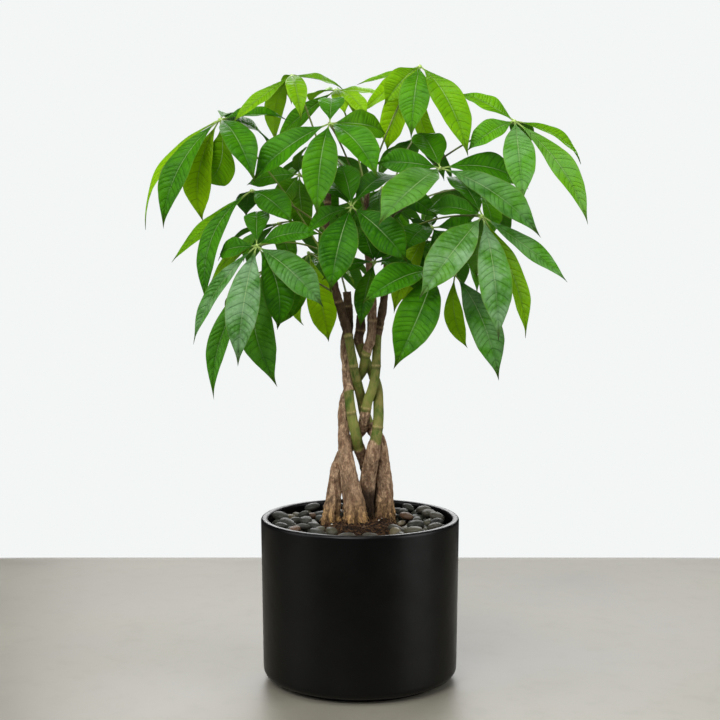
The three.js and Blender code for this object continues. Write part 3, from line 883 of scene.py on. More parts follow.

# %% [markdown]
# ## Trunks
#
# Each trunk is a young stem that was woven with the others while it was soft, and that grew
# thick in its place. Low down it has rough flaking bark with ridges that run into the roots, and
# higher up it is smooth and green, with a tan ring where each old leaf sat. A tube along a path
# is the right tool: the path carries its own radius, ring, bark and root values, and a tree
# sweeps a circle along it and then pushes the skin in and out by those values.
#
# Each row below is a point of the trunk's axis and the radius there, in millimetres. The other
# tables hold the heights of the rings, the height below which a foot is painted dark for the shade
# of the other trunks, how dark a top is, and the two heights between which the skin is green.

# %% The paths of the trunks
SOIL_FOOT = 150.0
TRUNKS = {
    "a": [
        (-40, 6, SOIL_FOOT, 9.5), (-37, 8, 206, 9.6), (-33, 10, 242, 9.2), (-29, 19, 270, 8.7),
        (-21, 26, 288, 8.2), (-12, 30, 300, 7.9), (-4, 29, 312, 7.5), (4, 20, 325, 7.1),
        (6.5, 12, 340, 6.7), (9.5, 10, 357, 6.4), (15, 9, 372, 6.2), (18.5, 9, 385, 6),
        (20, 9, 397, 5.9), (20.8, 10, 406, 5.8), (21.3, 13, 420, 5.6), (22, 20, 436, 5.5),
        (24, 25, 450, 5.4), (28, 27, 470, 5.2), (32, 29, 500, 4.8), (35, 30, 540, 4.3),
        (34, 28, 575, 3.8), (32, 26, 606, 3.2),
    ],
    "b": [
        (-3, 3, SOIL_FOOT, 13), (-5, 4, 206, 13.8), (-10.5, 2, 242, 12.6), (-15.5, 0, 270, 10.6),
        (-18, 2, 288, 9.4), (-19.3, 4, 300, 8.6), (-20.3, 8, 312, 7.8), (-20.8, 13, 325, 7.2),
        (-21.5, 17, 340, 6.9), (-20, 25, 357, 6.6), (-13, 30, 372, 6.4), (-4, 27, 385, 6.3),
        (3.5, 19, 397, 6.2), (5.5, 13, 406, 6.1), (8, 7, 420, 6.1), (13, 4, 436, 6),
        (14.5, 4, 450, 5.9), (15.8, 6, 470, 5.7), (15, 10, 500, 5.2), (11, 12, 540, 4.7),
        (7, 12, 580, 4.1), (8, 10, 610, 3.7), (10, 9, 636, 3.2),
    ],
    "c": [
        (4, 32, SOIL_FOOT, 10.5), (6, 29, 206, 10.8), (8.7, 22, 242, 10.3), (12.5, 14, 270, 9.8),
        (16, 8, 288, 9.4), (18, 6, 300, 8.4), (20.6, 5, 312, 7.2), (22.8, 8, 325, 6.9),
        (23.8, 12, 340, 6.8), (23.6, 18, 357, 6.6), (22.8, 25, 372, 6.4), (19, 28, 385, 6.3),
        (14, 32, 397, 6.2), (9, 31, 406, 6.1), (3, 30, 420, 6), (-2, 26, 436, 5.9),
        (0.5, 20, 450, 5.8), (1, 19, 468, 5.6),
    ],
    "d": [
        (29, 42, SOIL_FOOT, 12.5), (30, 38, 206, 12.8), (31, 34, 242, 11.4),
        (29.5, 28, 270, 10.2), (28, 25, 288, 9.2), (26, 24, 300, 8.8), (21, 25, 312, 8.1),
        (11, 36, 325, 7.6), (6, 34, 340, 7.1), (2.4, 28, 357, 6.6), (-1, 17, 372, 6.2),
        (-4, 10, 385, 6), (-7, 7, 397, 5.9), (-8.5, 6, 406, 5.8), (-11, 5, 420, 5.7),
        (-13.5, 5, 436, 5.7), (-17, 6, 452, 5.7), (-23, 7, 472, 5.6), (-31, 8, 500, 5),
        (-38, 9, 535, 4.5), (-42, 11, 575, 4), (-41, 13, 610, 3.5), (-38, 15, 640, 3.1),
    ],
    "e": [
        (10, 54, SOIL_FOOT, 9.2), (10, 52, 206, 9.4), (13, 46, 242, 8.8), (8, 36, 270, 8.2),
        (2, 23, 288, 7.7), (-2.5, 14, 300, 7.3), (-4.5, 6, 312, 7), (-7.5, 4, 325, 6.7),
        (-10.5, 5, 340, 6.6), (-13, 7, 357, 6.4), (-14.5, 10, 372, 6.3), (-15.8, 16, 385, 6.2),
        (-16.8, 19, 397, 6.1), (-17.8, 21, 406, 6.1), (-19.5, 22, 420, 6), (-18.5, 24, 436, 6),
        (-15, 25, 452, 5.8), (-14.5, 24, 470, 5.6), (-17, 22, 498, 5.4),
    ],
}
RING_HEIGHTS = {
    "a": [350, 404, 452, 496, 540, 580],
    "b": [420, 462, 505, 548, 592],
    "c": [325, 388, 450],
    "d": [405, 443, 486, 530, 572, 612],
    "e": [298, 345, 398, 446, 480],
}
PAINTED_SHADE_FEET = {"a": 0, "b": 0, "c": 255, "d": 0, "e": 285}
DARK_TOPS = {"a": 0.85, "b": 0.45, "c": 1.0, "d": 1.0, "e": 0.95}
GREEN_SKIN = {"a": (345, 440), "b": (380, 421), "c": (306, 432), "d": (325, 443), "e": (299, 372)}
print("trunks:", len(TRUNKS))

# %% [markdown]
# The rows give the axis at some heights. A smooth curve through them is sampled finely, and each
# sample gets the values that the tree and the finish read: how strong a leaf ring is there, how
# green the skin is, and how near the roots are.

# %% Sample a trunk's path
PATH_STEP = 1.7
RING_WIDTH = 1.3
# The painted shadow under each leaf ring: how far below the ring it lies, and how wide it is.
RING_SHADOW_DROP = 3.0
RING_SHADOW_WIDTH = 1.4
TOP_DARKENS = (410, 455)
# Each pair is where a change begins and where it ends, measured from its height.
GREEN_STARTS = (-5, 5)
GREEN_ENDS = (-4, 6)
ROOT_ENDS = (-4, 60)
FOOT_SHADE_ENDS = (-20, 0)


def between(rows, i, share):
    """A point of the smooth curve through the rows, and its radius."""
    before = Vector(rows[max(i - 1, 0)])
    start = Vector(rows[i])
    stop = Vector(rows[i + 1])
    after = Vector(rows[min(i + 2, len(rows) - 1)])
    return 0.5 * ((2 * start) + (stop - before) * share
                  + (2 * before - 5 * start + 4 * stop - after) * share ** 2
                  + (3 * start - before - 3 * stop + after) * share ** 3)


def trunk_path(rows):
    """The samples of a trunk's smooth curve, each with its radius."""
    path = []
    for i in range(len(rows) - 1):
        gap = (Vector(rows[i + 1][:3]) - Vector(rows[i][:3])).length
        steps = max(1, round(gap / PATH_STEP))
        path += [between(rows, i, j / steps) for j in range(steps)]
    return path + [Vector(rows[-1])]


def nearest_ring(name, height, width):
    """1 at a leaf ring, falling to 0 within about twice this width."""
    return max(math.exp(-((height - h) / width) ** 2) for h in RING_HEIGHTS[name])


def passed(height, level, change):
    """A soft step from 0 to 1 where a change round this level begins and ends."""
    return step_up(height, level + change[0], level + change[1])


def trunk_guide(name, path):
    """The samples as a line of points that carry their values."""
    rings = [nearest_ring(name, p[2], RING_WIDTH) for p in path]
    # A painted shadow: a dark band just under each raised ring, kept as the shade attribute.
    ring_shadows = [nearest_ring(name, p[2] + RING_SHADOW_DROP, RING_SHADOW_WIDTH) for p in path]
    low, high = GREEN_SKIN[name]
    green = [passed(p[2], low, GREEN_STARTS) * (1 - passed(p[2], high, GREEN_ENDS))
             for p in path]
    root = [1 - passed(p[2], SOIL_TOP, ROOT_ENDS) for p in path]
    high_up = [step_up(p[2], *TOP_DARKENS) * DARK_TOPS[name] for p in path]
    # Painted shade: below this height a trunk's foot is darkened for the shade of the other
    # trunks.
    dim = [1 - passed(p[2], PAINTED_SHADE_FEET[name], FOOT_SHADE_ENDS) for p in path]
    points = [Vector(p[:3]) * MM for p in path]
    edges = [(i, i + 1) for i in range(len(path) - 1)]
    radii = [p[3] * MM for p in path]
    return guide_mesh("trunk path", points, edges, radius=radii, ring=rings, shade=ring_shadows,
                      green=green, root=root, high=high_up, dim=dim)


print("points on trunk b:", len(trunk_path(TRUNKS["b"])))

# %% The trunk tree
FRAY_SEED = 3
FRAY_LIFTS = (0.1, 0.6)
FRAY_SIDEWAYS = 0.3
FRAY_SIZES = (0.4, 1.2)
ROOT_RIDGES = 5
LONG_GRAIN = 0.28
BARK_SHIFT = 0.1


def bark_frays(tree, surface, given):
    """Thin flakes that lift off the bark near the roots, on points spread over its skin."""
    near_root = attribute(tree, "root")
    density = given["Frays per square metre"] * near_root.math("POWER", 6.0)
    inputs = {"Mesh": surface, "Density": density, "Seed": FRAY_SEED}
    spread = node(tree, "GeometryNodeDistributePointsOnFaces", inputs).socket.node
    flake = node(tree, "GeometryNodeMeshCone", {
        "Vertices": 4, "Radius Top": 0.1 * MM, "Radius Bottom": 1.1 * MM,
        "Depth": given["Fray length"]})
    lift = random_value(tree, *FRAY_LIFTS, FRAY_SEED + 2)
    aside = random_value(tree, -FRAY_SIDEWAYS, FRAY_SIDEWAYS, FRAY_SEED + 3)
    size = random_value(tree, *FRAY_SIZES, FRAY_SEED + 4)
    lifted = Wire(tree, spread.outputs["Normal"]).scaled(lift)
    aim = lifted.vector("ADD", combined(tree, aside, 0.0, -1.0))
    rotation = node(tree, "FunctionNodeAlignRotationToVector", {"Vector": aim}, axis="Z")
    placed = node(tree, "GeometryNodeInstanceOnPoints", {
        "Points": Wire(tree, spread.outputs["Points"]), "Instance": flake, "Rotation": rotation,
        "Scale": size})
    return realized(tree, placed)


def build_trunk_tree():
    inputs = {
        "Sides": (INTEGER_INPUT, 36),
        "Ring height": (FLOAT_INPUT, 0.5 * MM),
        "Bark relief": (FLOAT_INPUT, 1.3 * MM),
        "Root ridges": (FLOAT_INPUT, 1.9 * MM),
        "Frays per square metre": (FLOAT_INPUT, 1.1e5),
        "Fray length": (FLOAT_INPUT, 8.5 * MM),
        "Offset": (FLOAT_INPUT, 0.0),
        "Bark": (MATERIAL_INPUT, None),
    }
    tree, given, end = new_grower("woven trunk", inputs)
    factor = node(tree, "GeometryNodeSplineParameter", output="Factor")
    circle = stored(tree, unit_circle(tree, given["Sides"]), "around", factor)
    tube = swept(tree, given["Geometry"], circle)
    green = attribute(tree, "green")
    rough = 1.0 - green * 0.9
    place = node(tree, "GeometryNodeInputPosition")
    x, y, z = place.parts()
    shift = given["Offset"]
    long_place = combined(tree, x + shift, y, z * LONG_GRAIN)
    flakes = noise(tree, long_place, 210.0, 4.0, 0.6).smooth(0.3, 0.7) - 0.5
    lumps = noise(tree, combined(tree, x + shift, y, z * 0.6), 60.0, 2.0) - 0.5
    wander = noise(tree, place, 25.0, 1.0) * 9.0
    ridges = (attribute(tree, "around") * (2 * math.pi * ROOT_RIDGES) + wander).math("SINE")
    lift = attribute(tree, "ring") * given["Ring height"]
    lift = lift + flakes * given["Bark relief"] * rough
    lift = lift + lumps * given["Bark relief"] * (rough * 0.8 + 0.5)
    lift = lift + (ridges + 0.4) * given["Root ridges"] * attribute(tree, "root")
    # The cracks between bark flakes and the valleys between root ridges are marked for the finish,
    # which darkens them: partly the bark's own darker cracks, partly painted shade.
    low_bark = (0.55 - flakes).smooth(0.5, 1.0) * rough
    valley = ridges.smooth(-0.2, -0.9) * attribute(tree, "root").math("POWER", 2.0)
    tube = stored(tree, tube, "crevice_colour_and_shade", low_bark.math("MAXIMUM", valley))
    normal = node(tree, "GeometryNodeInputNormal")
    moved = {"Geometry": tube, "Offset": normal.scaled(lift)}
    barked = node(tree, "GeometryNodeSetPosition", moved)
    frays = bark_frays(tree, barked, given)
    give(end, {"Geometry": shaded(tree, joined(tree, barked, frays), given["Bark"])})
    return tree


TRUNK_TREE = build_trunk_tree()
print("trunk tree:", len(TRUNK_TREE.nodes), "nodes")

# %% The bark's finish
def bark_finish():
    material, tree, shader = new_material("trunk bark", Specular_IOR_Level=0.18)
    green = read(tree, "green")
    ring = read(tree, "ring")
    root = read(tree, "root")
    streaks = mottle(tree, 230.0, stretch=3.0)
    flakes = mottle(tree, 560.0, stretch=2.0, low=0.42, high=0.6)
    patches = mottle(tree, 38.0, stretch=1.6)
    scars = mottle(tree, 95.0, stretch=2.2, low=0.5, high=0.7)
    ochre = root.math("POWER", 2.5) * (streaks * 0.7 + 0.15)
    # Darker in the cracks and root valleys: partly the bark's own colour, partly painted shade.
    crevice_colour_and_shade = read(tree, "crevice_colour_and_shade") * (root * 0.5 + 0.35)
    brown = layered(
        tree, mixed(tree, streaks, "#86684f", "#d0b08d"),
        (patches * 0.5, "#8f6f55"), (read(tree, "high") * 0.85, "#30260f"), (ochre, "#cfa25c"),
        (flakes * 0.36, "#3a2618"), (crevice_colour_and_shade, "#2c1c12"))
    olive = layered(
        tree, mixed(tree, patches, "#304a0c", "#6b7732"),
        (scars * 0.6, "#7a6138"), (streaks * 0.5, "#8a7d48"))
    edge = (green + (patches - 0.5) * 0.7).smooth(0.3, 0.65)
    rough = 1.0 - edge * 0.8
    # Painted shadow: the shade attribute darkens a band under each leaf ring; the pale ring itself
    # is the scar's own colour.
    skin = layered(
        tree, mixed(tree, edge, brown, olive),
        (read(tree, "shade") * 0.5, "#33241a"), (ring * (flakes * 0.5 + 0.2), "#b39a6c"),
        # Painted shade on the feet that stand in the other trunks' shade.
        (read(tree, "dim") * 0.92, "#1c120b"))
    dress(shader, tree, {
        "Base Color": skin,
        "Roughness": 0.55 + rough * 0.3,
        "Normal": bump(tree, (streaks - flakes) * rough + grain(tree, 1500.0) * 0.3, 0.9 * MM),
    })
    return material


BARK = bark_finish()
print("finish:", BARK.name)

# %% Make the trunks
def make_trunks():
    faces = 0
    for name, rows in TRUNKS.items():
        guide = trunk_guide(name, trunk_path(rows))
        offset = BARK_SHIFT * (ord(name) - ord("a"))
        piece = grown("trunk_" + name, guide, TRUNK_TREE, Bark=BARK, Offset=offset)
        seat(piece, "stem", "stem_" + name)
        faces += len(piece.data.polygons)
    return faces


print("trunk faces:", make_trunks())

# %% [markdown]
# ## Leaves
#
# A leaf of this tree is a hand: up to eight leaflets spread from the end of one long stalk.
# Each leaflet is narrow at both ends, hangs in an arch from its hub, is folded a little along its
# midrib, and swells between its side veins. All of that follows a rule, so one tree makes every
# leaf. An entry below gives the leaf's trunk, the height where its stalk leaves it, and the place
# of its hub. Each row in it is one leaflet: how far its tip lies right, back and up from the hub,
# its width, how far its face is turned to the front in degrees, how young and yellow it is, and
# then how far its middle is bent sideways and arched up, as shares of its length.
# `TONES_LIT_AND_SHADED` holds how light a leaf's green is, partly its own tone and partly painted
# light and shade for how the light falls on it, and `BLOOM_AND_SHEEN` how much pale haze it
# carries, partly the wax bloom of an older leaf and partly a painted sheen.

# %% The leaves in front
LEAVES = {
    "leaf_01": ("d", 525, (-176, 0, 715), [
        (-101, 10, -135, 29, -15, 0.75, 0, 0.14), (-71, -30, -134, 37, 0, 0.1, 0.02, 0.12),
        (-28, 40, -129, 40, 15, 0.95, 0.05, 0.12), (-30, 55, -76, 48, 80, 0.4, -0.22, 0.12),
        (51, -105, -78, 39, 0, 0.1, 0, 0.12), (57, 100, -23, 33, 25, 0.1, 0, 0.08),
        (81, 80, 9, 30, 0, 0.1, 0, 0.04), (15, 110, -5, 30, 0, 0.1, 0, 0.12),
    ]),
    "leaf_02": ("d", 636, (-87, 30, 772), [
        (-72, -50, -60, 25, 0, 0.5, 0, 0.02), (-28, 100, -77, 30, 0, 0.8, 0, 0.12),
        (16, -100, -60, 26, 0, 0.5, 0, 0.12), (66, 50, -10, 23, 0, 0.35, 0, 0.04),
        (-5, 100, -25, 26, 0, 0.8, 0, 0.12),
    ]),
    "leaf_03": ("b", 620, (-32, 100, 760), [
        (-38, 85, -8, 28, 0, 0.7, 0, 0.06), (80, 45, -10, 28, 0, 0.7, 0, 0.06),
        (13, -50, -34, 23, 0, 0.75, 0, 0.12), (42, -60, -40, 26, 0, 0.7, 0, 0.12),
        (-85, 75, -61, 28, 55, 0.15, 0, 0.06), (25, 85, -25, 30, 0, 0.7, 0, 0.12),
    ]),
    "leaf_04": ("b", 596, (-37, -50, 707), [
        (2, 60, 36, 33, 0, 0.1, 0, 0.12), (-95, -10, -68, 40, 12, 0.05, 0, 0.09),
        (-14, -80, -111, 42, 0, 0.12, 0, 0.12), (58, -70, -65, 44, 0, 0.1, 0, 0.12),
        (71, 50, -9, 40, 40, 0.2, 0, 0.12), (44, 50, -75, 35, 0, 0.1, 0, 0.12),
    ]),
    "leaf_05": ("b", 632, (76, 20, 783), [
        (-80, -20, -22, 17, 0, 0.4, 0, -0.02), (-46, -30, -50, 33, 20, 0.5, 0, 0.12),
        (-77, 90, -50, 32, 45, 0.7, 0, 0), (-43, 30, -105, 38, 20, 0.8, 0, 0.12),
        (-14, -80, -92, 39, 0, 0.15, 0, 0.12), (56, -90, -114, 43, 0, 0.4, -0.015, 0.12),
        (34, 60, -104, 24, 60, 0.7, 0.2, 0.12),
    ]),
    "leaf_06": ("a", 602, (191, -30, 711), [
        (-65, 40, 39, 32, 0, 0.3, 0, 0.03), (-60, -20, -36, 33, 20, 0.2, 0, 0.12),
        (3, -80, -99, 39, 0, 0.15, 0, 0.12), (87, -50, -124, 39, 0, 0.25, -0.03, 0.09),
        (91, 40, -49, 25, 10, 0.3, 0, 0.12), (20, 100, -35, 32, 0, 0.2, 0, 0.12),
    ]),
    "leaf_07": ("a", 580, (98, -60, 652), [
        (-24, 70, 50, 42, 0, 0.1, 0, 0.05), (-80, 0, 7, 34, 25, 0, 0, 0.08),
        (-78, -90, -66, 54, 0, 0.15, -0.05, 0.12), (114, 40, -22, 42, 30, 0, -0.04, 0.12),
        (117, -60, -80, 40, 10, 0.1, 0, 0.12),
    ]),
    "leaf_08": ("a", 560, (148, -80, 594), [
        (-79, -70, -94, 46, 15, 0.15, -0.03, 0.12), (15, -70, -144, 40, 0, 0.1, 0, 0.12),
        (101, -30, -76, 29, 12, 0.1, -0.02, 0), (-68, 20, 8, 35, 15, 0, 0, 0.12),
        (-36, 80, 52, 35, 0, 0, 0, 0.12), (-1, 75, -76, 38, 0, 0.2, 0, 0.12),
        (61, 30, -150, 34, 0, 0.6, -0.02, 0.06),
    ]),
    "leaf_09": ("a", 505, (119, -20, 521), [
        (50, -70, -124, 40, 10, 0.05, -0.02, 0.12), (26, 96, 16, 32, 0, 0.2, 0, 0.12),
        (-30, 95, -25, 32, 0, 0.2, 0, 0.12), (15, -5, -92, 25, 40, 0.7, 0.05, 0.08),
    ]),
    "leaf_10": ("b", 500, (90, -90, 530), [
        (-51, -70, -112, 49, 10, 0.1, -0.03, 0.12), (-87, -60, -35, 39, 15, 0, 0, 0.12),
        (26, 60, 22, 32, 0, 0, 0, 0.12),
    ]),
    "leaf_11": ("b", 560, (-10, -90, 605), [
        (-25, -60, -98, 46, 5, 0, 0, 0.12), (67, -30, -65, 42, 20, 0, 0, 0.12),
        (-15, 40, 53, 34, 0, 0, 0, 0.12), (58, 80, 41, 38, 0, 0, 0, 0.12),
        (-57, 30, -35, 32, 20, 0, 0, 0.12), (-38, 70, 29, 34, 0, 0, 0, 0.12),
    ]),
    "leaf_12": ("d", 545, (-125, -80, 558), [
        (-4, 80, 44, 32, 0, 0, 0, 0.12), (78, -20, 16, 32, 20, 0, 0, 0.12),
        (82, -40, -70, 40, 15, 0.05, 0, 0.12), (-19, -70, -138, 40, 0, 0, 0, 0.12),
        (-77, -30, -115, 25, 0, 0, -0.02, 0.12), (-50, 40, -10, 28, 45, 0, 0, 0.12),
        (-71, 100, -49, 26, 45, 0.55, 0.09, 0), (25, -10, -101, 38, 10, 0, -0.1, 0.12),
    ]),
    "leaf_13": ("d", 575, (-136, -10, 626), [
        (-101, -20, -86, 29, 0, 0.35, 0.05, -0.03), (-53, -60, -139, 28, 0, 0.05, 0.1, 0.12),
        (54, -50, -39, 39, 15, 0, 0, 0.12), (-12, 60, -30, 30, 0, 0, 0, 0.12),
    ]),
    "leaf_14": ("a", 540, (91, 0, 580), [
        (-36, -60, -27, 37, 0, 0, 0, 0.12), (-50, -25, -106, 32, 0, 0.8, 0, 0.12),
        (70, 70, -20, 42, 20, 0.1, 0, 0.12), (-10, 100, -10, 35, 0, 0.1, 0, 0.12),
        (26, -14, -46, 36, 20, 0, 0, 0.12),
    ]),
    "leaf_15": ("d", 495, (-119, -20, 527), [
        (-64, -40, -157, 27, 0, 0.1, 0.06, 0.12), (19, -70, -138, 45, 0, 0.1, 0.14, 0.12),
        (-50, 75, -70, 34, 0, 0.2, 0, 0.12), (32, 25, -62, 38, 35, 0.05, 0, 0.12),
    ]),
    "leaf_16": ("d", 515, (-67, 60, 547), [
        (-42, 0, -98, 35, 45, 0.15, 0, 0.12), (-13, 70, -101, 33, 70, 0.85, 0, 0.12),
        (26, 10, -118, 37, 20, 1, 0, 0.12), (62, 45, -47, 30, 0, 0.5, 0, 0.12),
    ]),
    "leaf_17": ("c", 464, (18, -50, 538), [
        (-18, -40, -77, 26, 0, 0.15, 0, 0.12), (-65, -20, -20, 30, 0, 0, 0, 0.12),
        (50, -35, -15, 30, 0, 0, 0, 0.12), (-14, 5, 40, 28, 20, 0, 0, 0.12),
        (22, 0, 34, 26, 20, 0, 0, 0.12),
    ]),
    "leaf_18": ("d", 605, (-78, 50, 648), [
        (-70, 10, -12, 34, 25, 0.1, 0, 0.12), (10, -25, -78, 33, 25, 0.2, 0, 0.12),
        (50, 5, -55, 32, 25, 0.1, 0, 0.12), (10, -35, 35, 30, 25, 0.3, 0, 0.12),
        (-30, -10, -46, 30, 25, 0.2, 0, 0.12),
    ]),
    "leaf_19": ("a", 568, (29, 49, 631), [
        (-58, -21, -64, 32, 25, 0.1, 0, 0.12), (1, -72, -60, 34, 25, 0.1, 0, 0.12),
        (72, -21, -39, 32, 25, 0.1, 0, 0.12), (8, 59, -48, 32, 25, 0.1, 0, 0.12),
    ]),
    "leaf_20": ("a", 526, (72, 16, 561), [
        (-46, -10, -28, 32, 25, 0, 0, 0.12), (1, -34, -64, 34, 25, 0.1, 0, 0.12),
        (44, 24, -34, 32, 25, 0.1, 0, 0.12), (-25, 42, -80, 26, 75, 0.8, 0, 0.12),
    ]),
}
# How light each leaf's green is: partly its own tone, partly painted light and shade for how the
# light falls on it.
TONES_LIT_AND_SHADED = {
    "leaf_01": 0.3, "leaf_02": 0.3, "leaf_03": 0.3, "leaf_04": 0.42, "leaf_05": 0.56,
    "leaf_06": 0.95, "leaf_07": 0.36, "leaf_08": 0.46, "leaf_09": 0.3, "leaf_10": 0.25,
    "leaf_11": 0.12, "leaf_12": 0.27, "leaf_13": 0.25, "leaf_14": 0.1, "leaf_15": 0.5,
    "leaf_16": 0.45, "leaf_17": 0.05, "leaf_18": 0.15, "leaf_19": 0.0, "leaf_20": 0.05,
}
# Each leaf's pale haze: partly the wax bloom of an older leaf, partly a painted sheen.
BLOOM_AND_SHEEN = {
    "leaf_06": 0.4, "leaf_07": 0.75, "leaf_08": 1.05, "leaf_09": 0.45, "leaf_12": 0.68,
    "leaf_15": 0.1,
}
print("leaves in front:", len(LEAVES))

# %% [markdown]
# The leaves on the far side spread their leaflets evenly, with a little play. Their entries end
# with the heading of the fan in degrees and the length of a leaflet. The same random numbers as
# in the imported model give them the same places, so a small generator is written out. The random
# module would draw other numbers.

# %% The leaves behind
FAR_LEAVES = {
    "leaf_21": ("b", 606, (-45, 140, 680), 80, 105),
    "leaf_22": ("a", 598, (74, 162, 700), 75, 86),
    "leaf_23": ("a", 588, (150, 100, 632), 67, 106),
    "leaf_24": ("b", 580, (20, 195, 620), 85, 115),
    "leaf_25": ("d", 565, (-110, 130, 585), 157, 100),
    "leaf_26": ("a", 550, (110, 160, 562), 40, 110),
    "leaf_27": ("e", 488, (-46, 207, 545), 120, 105),
}
FAN_COUNT = 6
FAN_STEP = 54
FAN_DROOP = 38
FAN_WIDTH = 0.33
FAN_TAPER = 0.0012
FAN_HEADING_PLAY = 6
FAN_DROOP_PLAY = 10
FAN_LENGTH_PLAY = 0.06
FAN_YOUTH = 0.15
FAN_ARCH = 0.12
LEAN_FRONT = 0.6
LEAN_FAR = 0.35
DRAW_SEED = 5
DRAW_FACTOR = 16807
DRAW_MODULUS = 2147483647


def same_draws(state):
    """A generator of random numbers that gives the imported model's own draws."""
    def draw(low, high):
        nonlocal state
        state = state * DRAW_FACTOR % DRAW_MODULUS
        return low + (high - low) * state / DRAW_MODULUS
    return draw


def fanned_rows(heading, reach, draw):
    """The rows of a leaf whose leaflets are spread by the rule."""
    rows = []
    for i in range(FAN_COUNT):
        offset = (i - (FAN_COUNT - 1) / 2) * FAN_STEP
        angle = math.radians(heading + offset + draw(-FAN_HEADING_PLAY, FAN_HEADING_PLAY))
        droop = math.radians(FAN_DROOP + draw(-FAN_DROOP_PLAY, FAN_DROOP_PLAY))
        play = draw(1 - FAN_LENGTH_PLAY, 1 + FAN_LENGTH_PLAY)
        length = reach * (1 - FAN_TAPER * abs(offset)) * play
        flat = length * math.cos(droop)
        tip = (flat * math.cos(angle), flat * math.sin(angle), -length * math.sin(droop))
        rows.append((*tip, length * FAN_WIDTH, 0, FAN_YOUTH, 0, FAN_ARCH))
    return rows


def all_leaves():
    """Name, trunk, height, hub, the lean of the faces, and the leaflets' rows."""
    draw = same_draws(DRAW_SEED)
    for name, (trunk, height, hub, rows) in LEAVES.items():
        yield name, trunk, height, hub, (0, -LEAN_FRONT), rows
    for name, (trunk, height, hub, heading, reach) in FAR_LEAVES.items():
        angle = math.radians(heading)
        lean = (LEAN_FAR * math.cos(angle), LEAN_FAR * math.sin(angle))
        yield name, trunk, height, hub, lean, fanned_rows(heading, reach, draw)


print("leaflets:", sum(len(leaf[-1]) for leaf in all_leaves()))

# %% [markdown]
# The guide of a leaf has one loose point for each leaflet, and a line of points for the stalk.
# A leaflet's face is turned towards the light, which is what a real leaf does.

# %% The guide of a leaf
PETIOLE_BEND = 0.45
PETIOLE_LIFT = 0.16
PETIOLE_RADIUS = 1.15
PETIOLE_STEPS = 26
PETIOLE_FLARE = 0.5
FLARE_POWER = 6
KNOT_RADIUS = 2.7
KNOT_POWER = 22
KNOT_STARTS = 1.4
# The knot's rounded end: how far past the hub, and the share of the knot's radius there.
KNOT_END = ((0.9, 0.9), (1.7, 0.65), (2.2, 0.2))
PLAIN_SHADE = 0.3
SHADE_PLAY = 0.3
# The pale haze grows with how steeply a leaflet hangs and how far it points to the front: a
# painted sheen of the front light.
HAZE_STEEP = (0.3, 0.8)
HAZE_FORWARD = (0.1, 0.2)
HAZE_PLAY = (0.6, 1.1)
TWIST_PLAY = 0.35
FOLDS = (0.1, 0.38)
BEND_PLAY = 0.015


def trunk_point(name, height):
    """The point of a trunk's axis at a height, on a straight line between two rows."""
    rows = TRUNKS[name]
    i = next(i for i in range(1, len(rows)) if rows[i][2] >= height)
    share = (height - rows[i - 1][2]) / (rows[i][2] - rows[i - 1][2])
    return Vector(rows[i - 1][:3]).lerp(Vector(rows[i][:3]), share)


def leaflet_face(reach, lean, turn):
    """The direction that the upper side of a leaflet looks in."""
    along = reach.normalized()
    upright = Vector((*lean, 1))
    face = (upright - along * upright.dot(along)).normalized()
    roll = math.radians(turn if along.cross(face).y < 0 else -turn)
    return Quaternion(along, roll) @ face


def petiole_points(start, hub):
    """A leaf stalk: out of the trunk, up, and over to the hub."""
    middle = start.lerp(hub, PETIOLE_BEND)
    middle.z += PETIOLE_LIFT * (hub - start).length
    steps = [i / PETIOLE_STEPS for i in range(PETIOLE_STEPS + 1)]
    points = [start.lerp(middle, t).lerp(middle.lerp(hub, t), t) for t in steps]
    over = (hub - points[-2]).normalized()
    ends = [hub + over * past for past, _ in KNOT_END]
    swelling = KNOT_RADIUS - PETIOLE_RADIUS
    radii = [PETIOLE_RADIUS + PETIOLE_FLARE * (1 - t) ** FLARE_POWER + swelling * t ** KNOT_POWER
             for t in steps]
    return points + ends, radii + [KNOT_RADIUS * share for _, share in KNOT_END]


